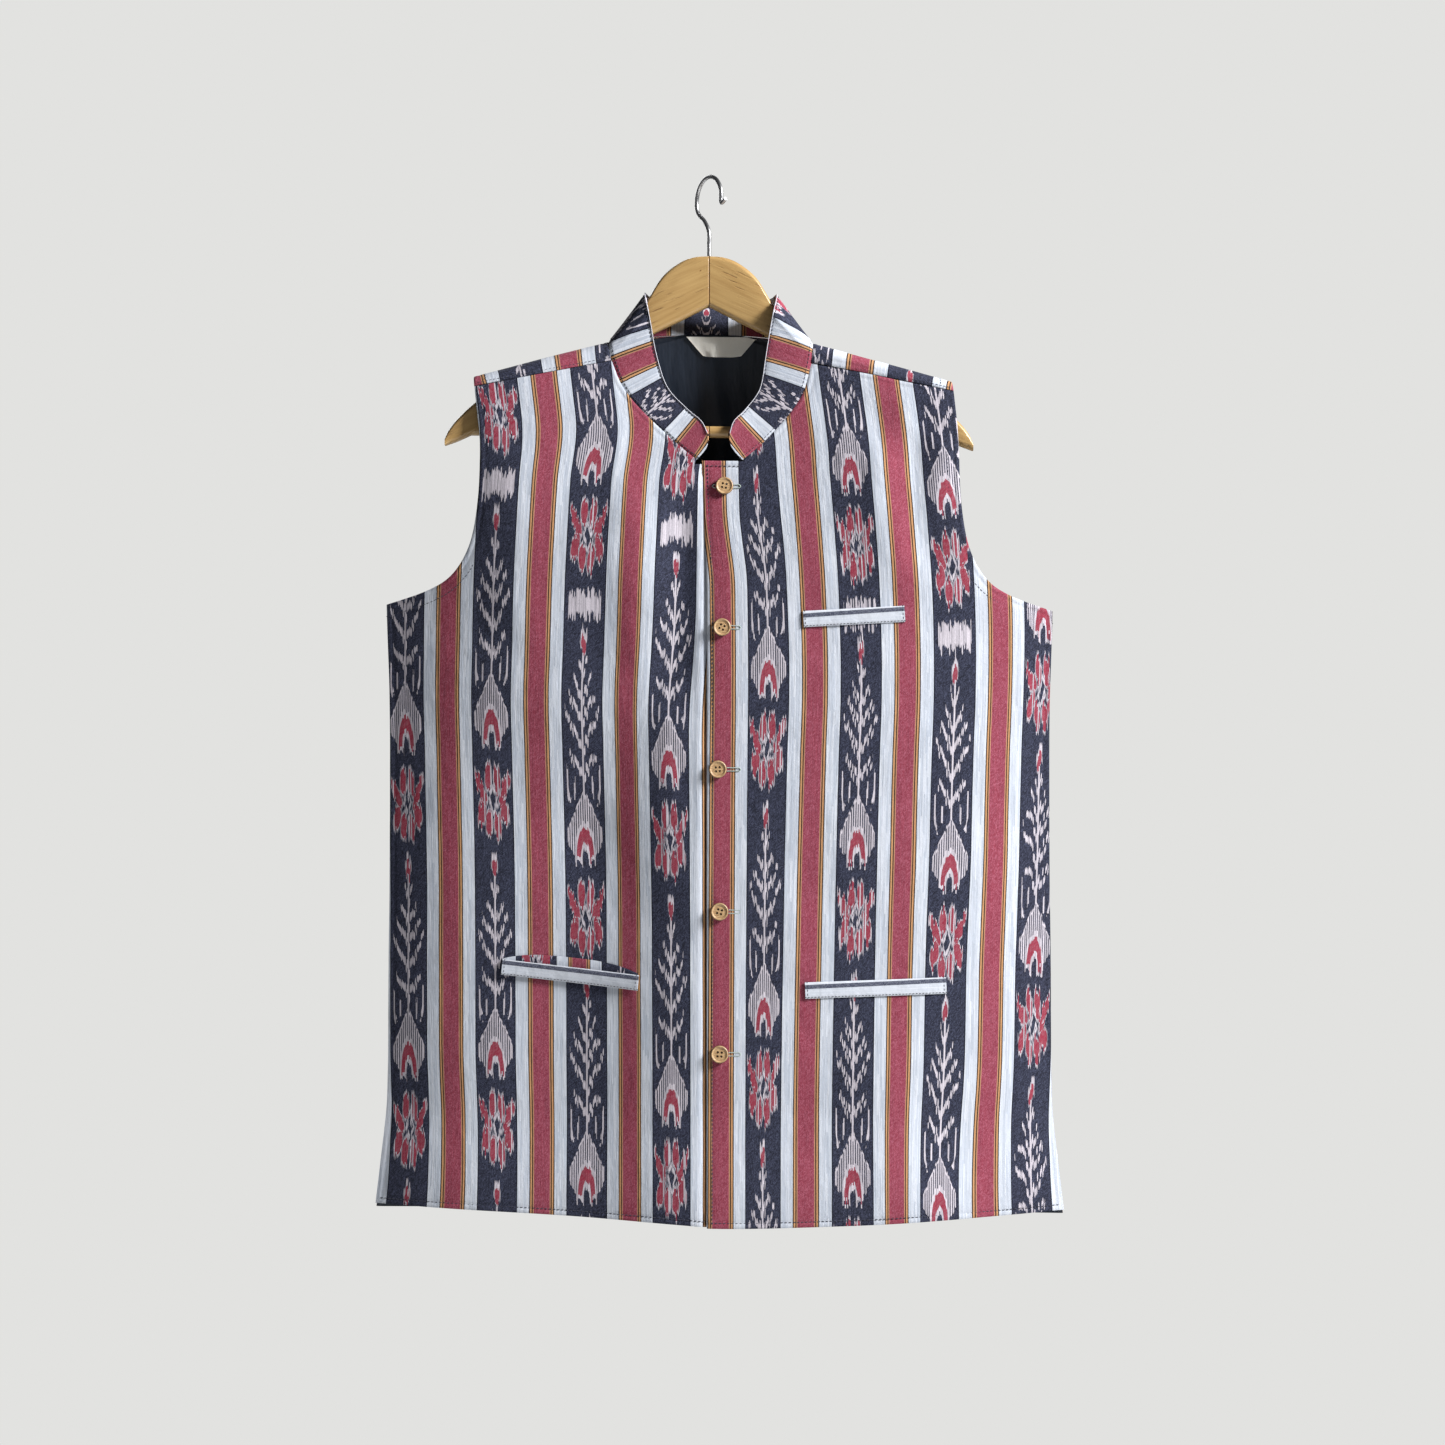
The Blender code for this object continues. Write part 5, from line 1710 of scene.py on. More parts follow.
@dataclass
class Back:
    """The back, cut in one with the strip that comes forward over each shoulder."""

    shop: Workshop
    stitcher: Stitcher
    step: float = 0.0060
    hem_z: float = -0.8800
    hem_rise: float = 0.006
    strip_lift: float = 0.0009
    strip_from: float = 0.020
    strip_fade: float = 0.012
    strip_stitches: float = 0.0022

    def arc(self, points: Array) -> Array:
        """Returns places of the back, given in x and z, in x and arc."""
        return pair(points[:, 0], DRAPE.arc_on(Face.BACK, points[:, 0], points[:, 1]))

    def strip_rise(self, flat: Array) -> Array:
        """Returns how far the strip over the shoulder lies above the front."""
        return self.strip_lift * smooth_step((flat[:, 1] - self.strip_from) / self.strip_fade)

    def build(self) -> None:
        ridge = 0.5 * math.pi * DRAPE.ridge_radius
        end = CUT.shoulder_end
        strip_end = float(DRAPE.arc_on(Face.FRONT, np.array([end]), np.array([CUT.yoke_end_z]))[0])
        over = np.array([(end, arc) for arc in [strip_end, *np.linspace(ridge, -ridge, 13)]])
        armhole = self.arc(CUT.armhole_edge())
        side = self.arc(CUT.side_edge(self.hem_z + self.hem_rise)[:-1])
        xs = np.linspace(DRAPE.chest_half, 0.0, 60)
        hem = self.arc(pair(xs, self.hem_z + self.hem_rise * (xs / DRAPE.chest_half) ** 2))
        neck = NECKLINE.arcs(NECKLINE.rows[: NECKLINE.yoke_row + 1], 8)
        half = np.vstack([neck, over, armhole, side, hem])
        outline = np.vstack([half, mirrored(half)[1:-1]])
        cut = cut_cloth(outline, self.step, CUT.rings, np.linspace(-ridge, ridge, 13))
        sink = seam_relief(cut) + ripple(cut.points + 3.0) - self.strip_rise(cut.points)
        piece = lay_panel(
            "back_panel", cut, DRAPE.back, Face.BACK, BackPattern().weave(cut.points),
            [self.shop.stripe, self.shop.satin], CUT.cloth, sink,
        )
        put_on(piece, "stripe_cloth", "back_panel")
        hem_row = inset_line(resample(hem, CUT.stitch_step), CUT.stitch_inset)[2:]
        arm_row = inset_line(resample(np.vstack([over[3:], armhole]), CUT.stitch_step), CUT.armhole_inset)
        strip_x = np.linspace(0.086, end - 0.004, 36)
        strip_arc = DRAPE.arc_on(Face.FRONT, strip_x, CUT.strip_seam(strip_x))
        strip_row = pair(strip_x, strip_arc - self.strip_stitches)
        lines = []
        for row in (hem_row, arm_row, strip_row):
            for flat in (row, mirrored(row)):
                normal = outward_normals(DRAPE.back, flat, Face.BACK)
                raised = self.strip_rise(flat) - CUT.stitch_sink
                lines.append(DRAPE.back(flat) + normal * raised[:, None])
        self.stitcher.sew("back_topstitch", lines, self.shop.dark_thread)


@dataclass
class Lining:
    """The satin lining of the back, and the blank label on it."""

    shop: Workshop
    stitcher: Stitcher
    thickness: float = 0.0010
    gap: float = 0.0010
    edge_inset: float = 0.003
    side_inset: float = 0.020
    hem_z: float = -0.8660
    label_centre: float = 0.0095
    label_top_z: float = -0.1332
    label_height: float = 0.0170
    label_top_width: float = 0.061
    label_bottom_width: float = 0.033
    label_thickness: float = 0.0008
    label_gap: float = 0.0004
    pleats: tuple[tuple[float, float, float], ...] = (
        (0.0015, 0.0042, 0.0034), (-0.052, 0.0090, 0.0022), (0.047, 0.0100, 0.0020), (-0.090, 0.0120, 0.0026),
        (0.098, 0.0120, 0.0026), (-0.026, 0.0070, 0.0012),
    )

    def rise(self, flat: Array) -> Array:
        """Returns how far the loose lining stands off the back, in soft upright folds."""
        x, arc = flat[:, 0], flat[:, 1]
        total = np.zeros(len(x))
        free = smooth_step((-arc - 0.016) / 0.050)
        for middle, width, lift in self.pleats:
            total += lift * np.exp(-(((x - middle) / width) ** 2))
        gathers = 0.0006 * (1.0 + np.sin(x * 900.0)) * np.exp(-np.abs(arc + 0.016) / 0.006)
        return total * free + gathers

    def build(self) -> None:
        """Makes the lining and the label."""
        clear = 0.5 * math.pi * DRAPE.ridge_radius + self.edge_inset
        neck = NECKLINE.arcs(NECKLINE.rows[:5], 8)
        neck = neck[neck[:, 0] < DRAPE.neck_half - self.edge_inset]
        neck[:, 1] = np.minimum(neck[:, 1] - self.gap, -clear)
        end = CUT.shoulder_end - self.edge_inset
        arm = CUT.armhole_edge()[6:]
        arm_x = np.minimum(arm[:, 0] - self.edge_inset, DRAPE.chest_half - self.side_inset)
        arm = pair(arm_x, arm[:, 1] - self.edge_inset)
        arm = arm[arm[:, 0] < DRAPE.chest_half - self.side_inset]
        side = DRAPE.chest_half - self.side_inset
        low = np.array([(side, arm[-1, 1] - 0.004), (side, self.hem_z), (0.0, self.hem_z)])
        body = np.vstack([arm, low])
        body = pair(body[:, 0], DRAPE.arc_on(Face.BACK, body[:, 0], body[:, 1]))
        half = np.vstack([neck, [(end, -clear)], body])
        outline = np.vstack([half, mirrored(half)[1:-1]])
        cut = cut_cloth(outline, 0.0065, (0.001,), np.linspace(-0.030, -clear, 6))
        inset = CUT.cloth + self.gap
        piece = lay_panel(
            "back_lining", cut, DRAPE.plain_back, Face.BACK, plain_weave(cut.points),
            [self.shop.satin], self.thickness, inset + self.rise(cut.points),
        )
        put_on(piece, "lining", "back_lining")
        self.build_label(inset)

    def build_label(self, inset: float) -> None:
        """Makes the label, which lies on the lining and has nothing on it."""
        columns, rows = 36, 14
        across = np.repeat(np.linspace(-0.5, 0.5, columns), rows)
        down = np.tile(np.linspace(0.0, 1.0, rows), columns)
        width = self.label_top_width + (self.label_bottom_width - self.label_top_width) * down
        x = self.label_centre + width * across
        z = self.label_top_z - self.label_height * down + 0.0012 * (2.0 * across) ** 4 * down
        flat = pair(x, DRAPE.arc_on(Face.BACK, x, z))
        normal = outward_normals(DRAPE.plain_back, flat, Face.BACK)
        curl = 0.0011 * np.sin(np.pi * (across + 0.5)) * down + 0.0004 * np.sin(across * 19.0) * down
        sink = inset + self.thickness + self.label_gap + self.rise(flat) * 0.6 + curl + 0.0006
        outer = DRAPE.plain_back(flat) - normal * sink[:, None]
        inner = outer - normal * self.label_thickness
        faces = grid_faces(columns, rows)
        piece = build_wall("neck_label", outer, inner, faces, plain_weave(flat), [self.shop.label])
        put_on(piece, "label", "neck_label")


@dataclass
class Collar:
    """The standing band, with its seam at the neckline and rounded front ends."""

    shop: Workshop
    stitcher: Stitcher
    cloth: float = 0.0022
    steps: int = 8
    solid_steps: int = 2
    rows: int = 22
    bulge: float = 0.0045
    height: float = 0.038
    tuck: float = 0.0009
    tuck_depth: float = 0.0006
    first_column: float = 0.0545
    squeeze: float = 1.5
    downs_left: tuple[float, ...] = (0.128, 0.040, 0.074, 0.100)
    downs_right: tuple[float, ...] = (0.112, 0.188, 0.074, 0.100)

    def grid(self) -> tuple[Array, Array]:
        """Lays out the band.

        Returns:
            The band's points by station and row, and each station's side.
        """
        seam = NECKLINE.arcs(NECKLINE.rows, self.steps)
        tops = NECKLINE.tops(self.steps)
        count = len(seam)
        stations = np.arange(-(count - 1), count)
        sides = np.where(stations < 0, -1.0, 1.0)
        index = np.abs(stations)
        flat = pair(sides * seam[index, 0], seam[index, 1])
        foot = DRAPE.back(flat)
        top = DRAPE.hang(sides * tops[index, 0], tops[index, 1], tops[index, 2])
        rise = top - foot
        foot = foot - self.tuck * unit(rise)
        v = np.linspace(0.0, 1.0, self.rows + 1)
        points = foot[:, None, :] + (top - foot)[:, None, :] * v[None, :, None]
        solid_index = index * self.solid_steps / self.steps
        solid_count = (count - 1) * self.solid_steps / self.steps + 1
        swell = self.bulge * smooth_step((solid_index - solid_count + 3.0) / 2.0)
        points[:, :, 0] -= (sides * swell)[:, None] * np.sin(np.pi * v)[None, :]
        return points, sides

    def weave(self, points: Array, sides: Array) -> Weave:
        """Returns the cloth's coordinates: the stripes cross the band square to its middle line."""
        line = points[:, points.shape[1] // 2]
        run = np.linalg.norm(np.diff(line, axis=0), axis=1)
        way = np.concatenate([[0.0], np.cumsum(run)])
        half = 0.5 * way[-1]
        total = points.reshape(-1, 3)
        seam_way = np.zeros(len(total))
        nearest = np.full(len(total), np.inf)
        for start, end, at, length in zip(line[:-1], line[1:], way[:-1], run):
            share = np.clip((total - start) @ (end - start) / length**2, 0.0, 1.0)
            gap = np.linalg.norm(total - start - share[:, None] * (end - start), axis=1)
            closer = gap < nearest
            nearest = np.where(closer, gap, nearest)
            seam_way = np.where(closer, at + share * length, seam_way)
        radial = np.repeat(way, points.shape[1])
        seam_way = 0.8 * seam_way + 0.2 * radial
        from_end = half - np.abs(seam_way - half)
        period = STRIPES.period / MILLIMETRES
        columns = round((half - self.first_column) / period)
        stretch = (half - self.first_column) / (columns * period)
        across = (from_end - self.first_column) / stretch
        v = np.tile(np.linspace(0.0, 1.0, points.shape[1]), len(line))
        number = np.clip(np.round(across / period), 0, 3).astype(int)
        left = np.array(self.downs_left)[number]
        right = np.array(self.downs_right)[number]
        start = np.where(np.repeat(sides, points.shape[1]) > 0.0, left, right)
        down = start + self.squeeze * self.height * (0.5 - v)
        threads = pair(across, self.height * v)
        return Weave(threads, pair(down, np.ones_like(down)))

    def build(self) -> None:
        points, sides = self.grid()
        along = np.gradient(points, axis=0)
        up = np.gradient(points, axis=1)
        normal = np.cross(along, up)
        normal /= np.linalg.norm(normal, axis=2)[:, :, None]
        v = np.linspace(0.0, 1.0, points.shape[1]) * self.height
        from_edge = np.minimum(v, self.height - v)
        sink = 0.0004 * np.exp(-((from_edge / 0.0008) ** 2))
        sink = sink + 0.00028 * np.exp(-(((from_edge - 0.0019) / 0.0008) ** 2))
        sink = sink + self.tuck_depth * np.exp(-((v / 0.0015) ** 2))
        outer = points + normal * sink[None, :, None]
        inner = points + normal * (self.cloth - 0.5 * sink[None, :, None])
        piece = build_wall(
            "collar", outer.reshape(-1, 3), inner.reshape(-1, 3), grid_faces(*points.shape[:2]),
            self.weave(points, sides), [self.shop.stripe, self.shop.stripe],
        )
        put_on(piece, "stripe_cloth", "collar")
        lines = [points[:, 2] - normal[:, 2] * 0.00005, points[:, -2] - normal[:, -2] * 0.00005]
        self.stitcher.sew("collar_topstitch", lines, self.shop.dark_thread, radius=0.00030)
        piping = points[:, -1] - normal[:, -1] * 0.0001
        self.stitcher.sew(
            "collar_piping", [piping], self.shop.pale_thread, pitch=0.0016, length=0.0026, radius=0.00042
        )


@dataclass(frozen=True)
class PocketStrip:
    """A strip laid on a front: the two ends of its middle line, its height and its lift."""

    name: str
    x0: float
    z0: float
    x1: float
    z1: float
    height: float
    lift: float
    cloth: float
    gap: float
    lens: float = 0.0

    def lay(self, surface: Surface, columns: int, rows: int) -> tuple[Array, ...]:
        """Lays the strip.

        Args:
            surface: The front that it lies on.
            columns: How many steps it has along.
            rows: How many steps it has up.

        Returns:
            Its outer points, inner points, triangles, and places along and up it.
        """
        run = np.array([self.x1 - self.x0, self.z1 - self.z0])
        up = np.array([-run[1], run[0]]) / np.hypot(*run)
        way = np.repeat(np.linspace(0.0, 1.0, columns + 1), rows + 1)
        rise = np.tile(np.linspace(-0.5, 0.5, rows + 1), columns + 1)
        tall = self.height * np.where(rise > 0.0, 1.0 - self.lens * np.abs(2.0 * way - 1.0) ** 3, 1.0)
        flat = np.array([self.x0, self.z0]) + way[:, None] * run + (rise * tall)[:, None] * up
        normal = outward_normals(surface, flat, Face.FRONT)
        lift = self.gap + self.lift * (rise + 0.5) * np.sin(np.pi * way)
        crown = self.cloth * (1.0 - 0.45 * np.abs(2.0 * rise) ** 6)
        inner = surface(flat) + normal * lift[:, None]
        outer = inner + normal * crown[:, None]
        place = pair(way * float(np.hypot(*run)), rise * self.height)
        return outer, inner, grid_faces(columns + 1, rows + 1), place, flat


@dataclass
class Pockets:
    """Three welts of pale cloth with a dark band, and the facing of the one that gapes."""

    shop: Workshop
    stitcher: Stitcher
    welts: tuple[PocketStrip, ...] = (
        PocketStrip("chest_welt", 0.0703, -0.3744, 0.1553, -0.3690, 0.0136, 0.0, 0.0012, 0.0004),
        PocketStrip("pocket_welt_left", 0.0715, -0.6853, 0.1905, -0.6805, 0.0138, 0.0, 0.0012, 0.0004),
        PocketStrip("pocket_welt_right", -0.1834, -0.6690, -0.0679, -0.6807, 0.0130, 0.0024, 0.0012, 0.0016),
    )
    facing: PocketStrip = PocketStrip(
        "pocket_facing_right", -0.1824, -0.6645, -0.0689, -0.6755, 0.0190, 0.0, 0.0008, 0.0004, 0.72
    )

    facing_shift: tuple[float, float] = (0.042, 0.040)
    band_from: tuple[float, float] = (0.0022, 0.0009)
    band_from_right: tuple[float, float] = (0.0008, 0.0008)

    def build(self) -> None:
        """Makes the facing, the welts and the stitches at their ends."""
        outer, inner, faces, place, flat = self.facing.lay(DRAPE.under_front, 50, 8)
        weave = FrontPattern().weave(Side.RIGHT, flat + np.array(self.facing_shift))
        piece = build_wall(self.facing.name, outer, inner, faces, weave, [self.shop.stripe])
        put_on(piece, "stripe_cloth", self.facing.name)
        lines = []
        for welt in self.welts:
            left = welt.x0 > 0.0
            surface = DRAPE.front if left else DRAPE.under_front
            outer, inner, faces, place, flat = welt.lay(surface, 60, 12)
            length = float(np.hypot(welt.x1 - welt.x0, welt.z1 - welt.z0))
            start, end = self.band_from if left else self.band_from_right
            from_band = 0.5 * welt.height - place[:, 1] - start - (end - start) * place[:, 0] / length
            weave = Weave(place, pair(from_band, np.zeros(len(place))))
            piece = build_wall(welt.name, outer, inner, faces, weave, [self.shop.pale])
            put_on(piece, "pale_cloth", welt.name)
            grid = outer.reshape(61, 13, 3)
            lines += [grid[1, :], grid[-2, :], grid[:, 1]]
        self.stitcher.sew("welt_stitches", lines, self.shop.dark_thread, 0.0028, 0.0020, 0.0003)


@dataclass
class Buttons:
    """Five turned wooden buttons and their buttonholes on the lap."""

    shop: Workshop
    stitcher: Stitcher
    radius: float = 0.0075
    thickness: float = 0.0034
    dish: float = 0.0006
    sides: int = 48
    top_z: float = -0.263
    pitch: float = 0.119
    across: tuple[float, ...] = (0.0040, 0.0020, -0.0015, 0.0, 0.0)
    hole_radius: float = 0.00095
    hole_off: float = 0.0023
    turns: tuple[float, ...] = (35.0, 20.0, 48.0, 30.0, 40.0)
    hole_sides: int = 14
    hole_depth: float = 1.3
    drill_ends: tuple[float, float] = (-0.002, 0.006)
    seed_step: float = 0.013
    buttonhole_start: float = -0.006
    buttonhole_end: float = 0.0175
    buttonhole_half: float = 0.0014

    def profile(self) -> list[tuple[float, float]]:
        """Returns the turned outline from the middle of the back to the middle of the front."""
        r, t = self.radius, self.thickness
        return [
            (0.0, 0.0), (0.60 * r, 0.0), (0.80 * r, 0.10 * t), (0.94 * r, 0.32 * t), (r, 0.52 * t),
            (0.995 * r, 0.72 * t), (0.96 * r, 0.90 * t), (0.90 * r, t), (0.84 * r, 0.99 * t),
            (0.78 * r, 0.90 * t), (0.72 * r, t - self.dish), (0.66 * r, t - 1.15 * self.dish),
            (0.45 * r, t - self.dish), (0.0, t - 0.95 * self.dish),
        ]

    def blank(self, name: str) -> Object:
        """Turns a button without holes, with its middle at the origin and its face to +Z.

        Args:
            name: Its name.

        Returns:
            The button.
        """
        turns = [2.0 * math.pi * i / self.sides for i in range(self.sides)]
        profile = self.profile()
        points = [(r * math.cos(t), r * math.sin(t), z) for r, z in profile[1:-1] for t in turns]
        points = [(0.0, 0.0, 0.0), *points, (0.0, 0.0, profile[-1][1])]
        last = len(points) - 1
        top = last - self.sides
        faces = []
        for i in range(self.sides):
            after = (i + 1) % self.sides
            faces.append((0, 1 + after, 1 + i))
            for low in range(1, top, self.sides):
                high = low + self.sides
                faces.append((low + i, low + after, high + after, high + i))
            faces.append((top + i, top + after, last))
        return show(name, new_mesh(name, points, faces))

    def drill(self, name: str, turn: float) -> Object:
        """Makes a button with its four holes.

        Args:
            name: Its name.
            turn: How far its holes are turned, in degrees.

        Returns:
            The button, with its middle at the origin.
        """
        blank = self.blank(f"{name}_blank")
        count = self.hole_sides
        wide = self.hole_radius
        ways = [2.0 * math.pi * i / count for i in range(count)]
        points, faces = [], []
        for hole in range(4):
            angle = math.radians(turn) + 0.5 * math.pi * hole
            x, y = self.hole_off * math.cos(angle), self.hole_off * math.sin(angle)
            low = len(points)
            high = low + count
            for z in self.drill_ends:
                points += [(x + math.cos(way) * wide, y + math.sin(way) * wide, z) for way in ways]
            for i in range(count):
                after = (i + 1) % count
                faces.append((low + i, low + after, high + after, high + i))
            faces += [tuple(reversed(range(low, high))), tuple(range(high, high + count))]
        drill = show(f"{name}_drill", new_mesh(f"{name}_drill", points, faces))
        holes = blank.modifiers.new("holes", "BOOLEAN")
        holes.operation = "DIFFERENCE"
        holes.object = drill
        graph = bpy.context.evaluated_depsgraph_get()
        made = bpy.data.meshes.new_from_object(blank.evaluated_get(graph))
        for spare in (blank, drill):
            bpy.data.objects.remove(spare)
        return show(name, made)

    def fasten(self, number: int, seat: Array, normal: Array) -> None:
        """Makes a button and puts it on the lap.

        Args:
            number: Which one it is, from the top.
            seat: The place of the middle of its back.
            normal: The way that its face looks.
        """
        side = np.cross([0.0, 0.0, 1.0], normal)
        side /= np.linalg.norm(side)
        stand = np.stack([side, np.cross(normal, side), normal], axis=1)
        name = f"button_{number + 1}"
        piece = self.drill(name, self.turns[number])
        mesh = piece.data
        place = np.zeros(len(mesh.vertices) * 3)
        mesh.vertices.foreach_get("co", place)
        place = place.reshape(-1, 3)
        set_layer(mesh, "threads", place[:, :2])
        # How deep a point lies in a hole, which the button's material turns into painted shade.
        depth = self.thickness - self.hole_depth * self.dish - place[:, 2]
        in_hole = (np.hypot(place[:, 0], place[:, 1]) < 2.0 * self.hole_off) & (depth > 0.0)
        seed = np.full(len(place), self.seed_step * (number + 1))
        set_layer(mesh, "motif", pair(seed, np.where(in_hole, depth, 0.0)))
        mesh.vertices.foreach_set("co", (place @ stand.T + seat).ravel())
        dress(mesh, [self.shop.button], 45.0)
        put_on(piece, "button_wood", name)

    def build(self) -> None:
        """Makes the buttons and the stitches of their buttonholes."""
        holes = []
        turn = np.linspace(0.0, 2.0 * np.pi, 60)
        middle = 0.5 * (self.buttonhole_end + self.buttonhole_start)
        half = 0.5 * (self.buttonhole_end - self.buttonhole_start)
        tall = self.buttonhole_half * np.clip(np.sin(turn) * 2.2, -1.0, 1.0)
        for number, x in enumerate(self.across):
            z = self.top_z - self.pitch * number
            flat = np.array([[x, z]])
            normal = outward_normals(DRAPE.front, flat, Face.FRONT)[0]
            self.fasten(number, DRAPE.front(flat)[0] + normal * DRAPE.seam_gap, normal)
            ring = pair(middle + half * np.cos(turn), z + tall)
            normals = outward_normals(DRAPE.front, ring, Face.FRONT)
            holes.append(DRAPE.front(ring) + normals * 0.0001)
        self.stitcher.sew("buttonhole_stitches", holes, self.shop.light_thread, 0.0008, 0.0013, 0.00045)


@dataclass
class Hanger:
    """Two mitred wooden arms, a bar between them and a wire hook."""

    shop: Workshop
    thickness: float = 0.0125
    rounding: float = 0.0045
    corner_steps: int = 7
    bar_radius: float = 0.005
    bar_z: float = -0.2163
    bar_end: float = 0.206
    wire: float = 0.00175
    bend: float = 0.020
    turn: float = math.radians(-58.0)
    rows: tuple[tuple[float, float, float], ...] = (
        (0.00015, -0.0659, -0.1090), (0.0120, -0.0668, -0.1150), (0.0245, -0.0715, -0.1215),
        (0.0397, -0.0837, -0.1290), (0.0500, -0.1000, -0.1345), (0.0590, -0.1160, -0.1410),
        (0.0680, -0.1330, -0.1500), (0.0760, -0.1412, -0.1590), (0.0880, -0.1446, -0.1680),
        (0.1090, -0.1486, -0.1770), (0.1430, -0.1584, -0.1905), (0.1682, -0.1730, -0.2035),
        (0.1969, -0.1927, -0.2190), (0.2120, -0.2070, -0.2262), (0.2195, -0.2165, -0.2290),
        (0.2230, -0.2245, -0.2300),
    )

    def close_rings(self, name: str, slot: str, rings: Array, finish: Material) -> None:
        """Makes a piece of the hanger from rings of points.

        Args:
            name: The name of the piece.
            slot: Its material slot in the record.
            rings: The points by ring and by place round it.
            finish: Its material.
        """
        count, around = rings.shape[:2]
        end = (count - 1) * around
        faces = [tuple(range(around)), tuple(reversed(range(end, end + around)))]
        for low in range(0, end, around):
            for i in range(around):
                after = (i + 1) % around
                faces.append((low + after, low + i, low + around + i, low + around + after))
        points = rings.reshape(-1, 3)
        mesh = new_mesh(name, points.tolist(), turned_out(points, faces))
        dress(mesh, [finish])
        put_on(show(name, mesh), slot, name)

    def arm(self, name: str, side: Side, finish: Material) -> None:
        """Makes one arm, with softly rounded edges."""
        xs = np.concatenate([np.linspace(0.0, 0.205, 90), np.linspace(0.207, 0.2230, 16)])
        tops, bottoms = read_table(self.rows, 1, xs), read_table(self.rows, 2, xs)
        half_thick = 0.5 * self.thickness
        rings = []
        for x, top, bottom in zip(xs, tops, bottoms):
            middle, half = 0.5 * (top + bottom), 0.5 * (top - bottom)
            rounding = min(self.rounding, 0.7 * half)
            ring = []
            for corner in range(4):
                sign_y = 1 if corner in (0, 3) else -1
                sign_z = 1 if corner in (0, 1) else -1
                for step in range(self.corner_steps):
                    turn = 0.5 * math.pi * (corner + step / (self.corner_steps - 1))
                    y = sign_y * (half_thick - rounding) + rounding * math.cos(turn)
                    z = sign_z * (half - rounding) + rounding * math.sin(turn)
                    y += float(DRAPE.middle_y(np.array([x]))[0])
                    ring.append((side.value * x, y, middle + z - DRAPE.lean * side.value * x))
            rings.append(ring)
        self.close_rings(name, "hanger_wood", np.array(rings), finish)

    def bar(self) -> None:
        """Makes the round bar between the arms."""
        turns = np.linspace(0.0, 2.0 * np.pi, 32, endpoint=False)
        y = float(DRAPE.middle_y(np.array([self.bar_end]))[0])
        end = self.bar_end - DRAPE.seam_gap
        rings = []
        for x in np.linspace(-end, end, 40):
            z = self.bar_z - DRAPE.lean * x
            ring = [(x, y + self.bar_radius * math.cos(t), z + self.bar_radius * math.sin(t)) for t in turns]
            rings.append(ring)
        self.close_rings("hanger_bar", "hanger_wood", np.array(rings), self.shop.pine_bar)

    def hook(self) -> None:
        """Makes the wire hook: its neck, its bend and its short turned-out tip."""
        middle = self.wire - self.bend
        route = [(0.0, -0.0656), (0.0, -0.0560), (-0.0004, -0.0450), (-0.0070, -0.0355)]
        for step in range(8):
            turn = math.radians(205.0 + (-12.0 - 205.0) * step / 7)
            route.append((self.bend * math.cos(turn), middle + self.bend * math.sin(turn)))
        route.append((0.0262, -0.0200))
        path = spline(np.array(route), 10)
        points = np.stack(
            [path[:, 0] * math.cos(self.turn), path[:, 0] * math.sin(self.turn), path[:, 1]], axis=1
        )
        tangent = unit(np.gradient(points, axis=0))
        across = np.array([-math.sin(self.turn), math.cos(self.turn), 0.0])
        turns = np.linspace(0.0, 2.0 * np.pi, 20, endpoint=False)
        rings = []
        for point, way in zip(points, tangent):
            other = np.cross(way, across)
            rings.append([point + self.wire * (across * math.cos(t) + other * math.sin(t)) for t in turns])
        self.close_rings("hanger_hook", "hook_steel", np.array(rings), self.shop.steel)

    def build(self) -> None:
        """Makes the four pieces."""
        self.arm("hanger_arm_left", Side.LEFT, self.shop.pine_left)
        self.arm("hanger_arm_right", Side.RIGHT, self.shop.pine_right)
        self.bar()
        self.hook()


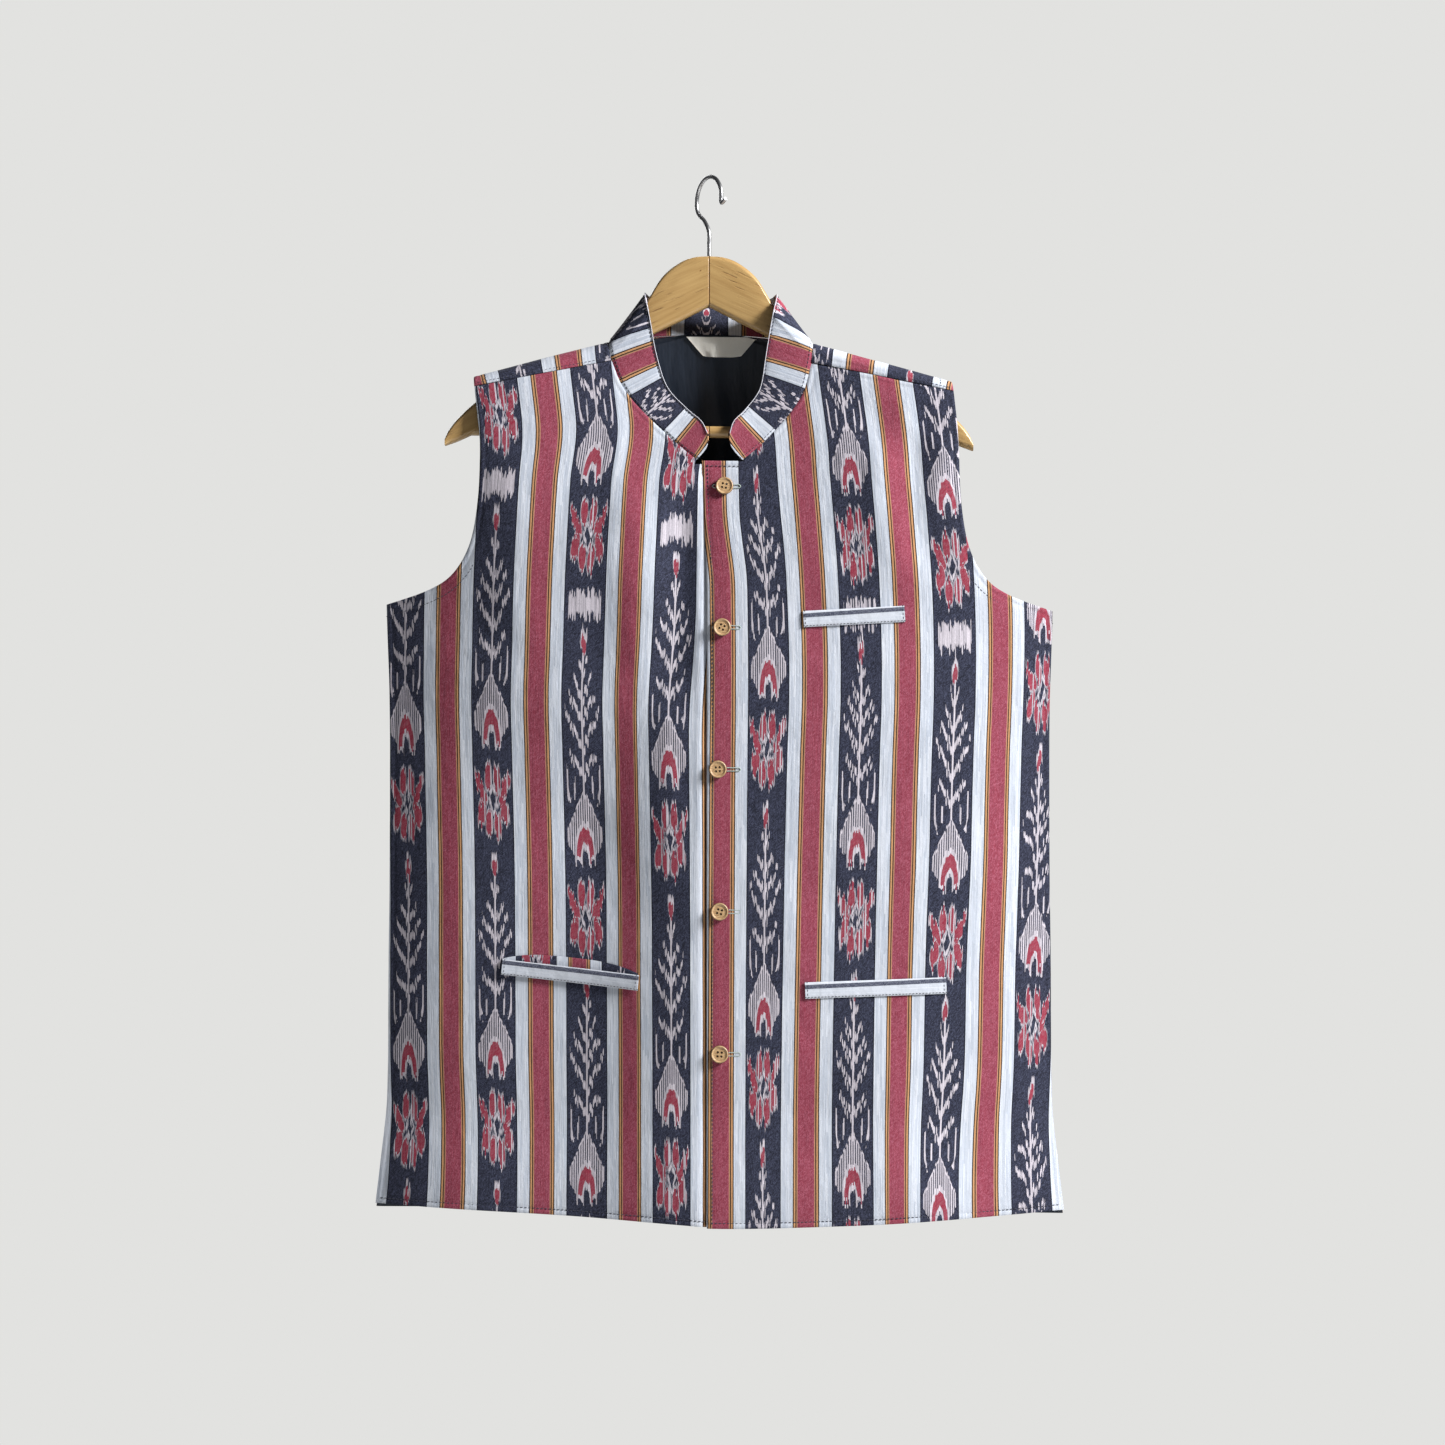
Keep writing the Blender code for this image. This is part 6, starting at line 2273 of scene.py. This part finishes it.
@dataclass
class Studio:
    """The pale floor, the soft light and the camera."""

    floor_z: float = -1.5
    floor_half: float = 2.0
    camera_place: tuple[float, float, float] = (0.0114, -2.966, -0.4618)
    frame_width: float = 1.221
    frame_distance: float = 2.95
    sensor: float = 36.0
    backdrop: Colour = srgb(226, 226, 224)

    def area(self, name: str, place: tuple[float, float, float], size: float, power: float) -> None:
        """Adds a square soft light that looks at the jacket's middle."""
        data = bpy.data.lights.new(name, "AREA")
        data.size = size
        data.energy = power
        light = show(name, data)
        light.location = place
        light.rotation_euler = (Vector((0.0, 0.0, -0.5)) - Vector(place)).to_track_quat("-Z", "Y").to_euler()

    def build(self) -> None:
        """Sets the floor, the lights, the world and the camera."""
        side, z = self.floor_half, self.floor_z
        corners = [(-side, -side, z), (side, -side, z), (side, side, z), (-side, side, z)]
        mesh = new_mesh("floor", corners, [(0, 1, 2, 3)])
        floor = show("floor", mesh)
        paint = Graph("floor_paint")
        x, y, _ = paint.place()
        cloudy = paint.noise(paint.vector(x, y), 0.6, 2.0)
        mesh.materials.append(paint.finish(paint.mix(cloudy, srgb(226, 226, 224), srgb(232, 232, 230)), 0.9))
        world = bpy.data.worlds.new("studio")
        world.use_nodes = True
        bpy.context.scene.world = world
        tree = world.node_tree
        sky = tree.nodes["Background"]
        seen = tree.nodes.new("ShaderNodeBackground")
        seen.inputs[0].default_value = self.backdrop
        sky.inputs[0].default_value = (0.92, 0.96, 1.0, 1.0)
        sky.inputs[1].default_value = 0.055
        rays, both = tree.nodes.new("ShaderNodeLightPath"), tree.nodes.new("ShaderNodeMixShader")
        tree.links.new(rays.outputs["Is Camera Ray"], both.inputs[0])
        tree.links.new(sky.outputs[0], both.inputs[1])
        tree.links.new(seen.outputs[0], both.inputs[2])
        tree.links.new(both.outputs[0], tree.nodes["World Output"].inputs[0])
        self.area("key", (2.8, -1.12, 1.4), 0.9, 322.0)
        self.area("fill", (-1.6, -3.0, 0.1), 2.4, 4.5)
        self.area("back", (-0.8, 2.4, 0.6), 2.0, 34.0)
        camera = bpy.data.cameras.new("camera")
        camera.sensor_width = self.sensor
        camera.lens = self.sensor * self.frame_distance / self.frame_width
        eye = show("camera", camera)
        eye.location = self.camera_place
        eye.rotation_euler = (math.radians(90.0), 0.0, 0.0)
        bpy.context.scene.camera = eye
        bpy.context.scene.view_settings.view_transform = "Standard"


def main() -> None:
    """Builds the jacket, its hanger and the studio."""
    logging.basicConfig(level=logging.INFO, format="%(name)s: %(message)s")
    Studio().build()
    shop = Workshop()
    stitcher = Stitcher()
    Back(shop, stitcher).build()
    Lining(shop, stitcher).build()
    Fronts(shop, stitcher).build()
    Collar(shop, stitcher).build()
    Pockets(shop, stitcher).build()
    Buttons(shop, stitcher).build()
    Hanger(shop).build()


if __name__ == "__main__":
    main()
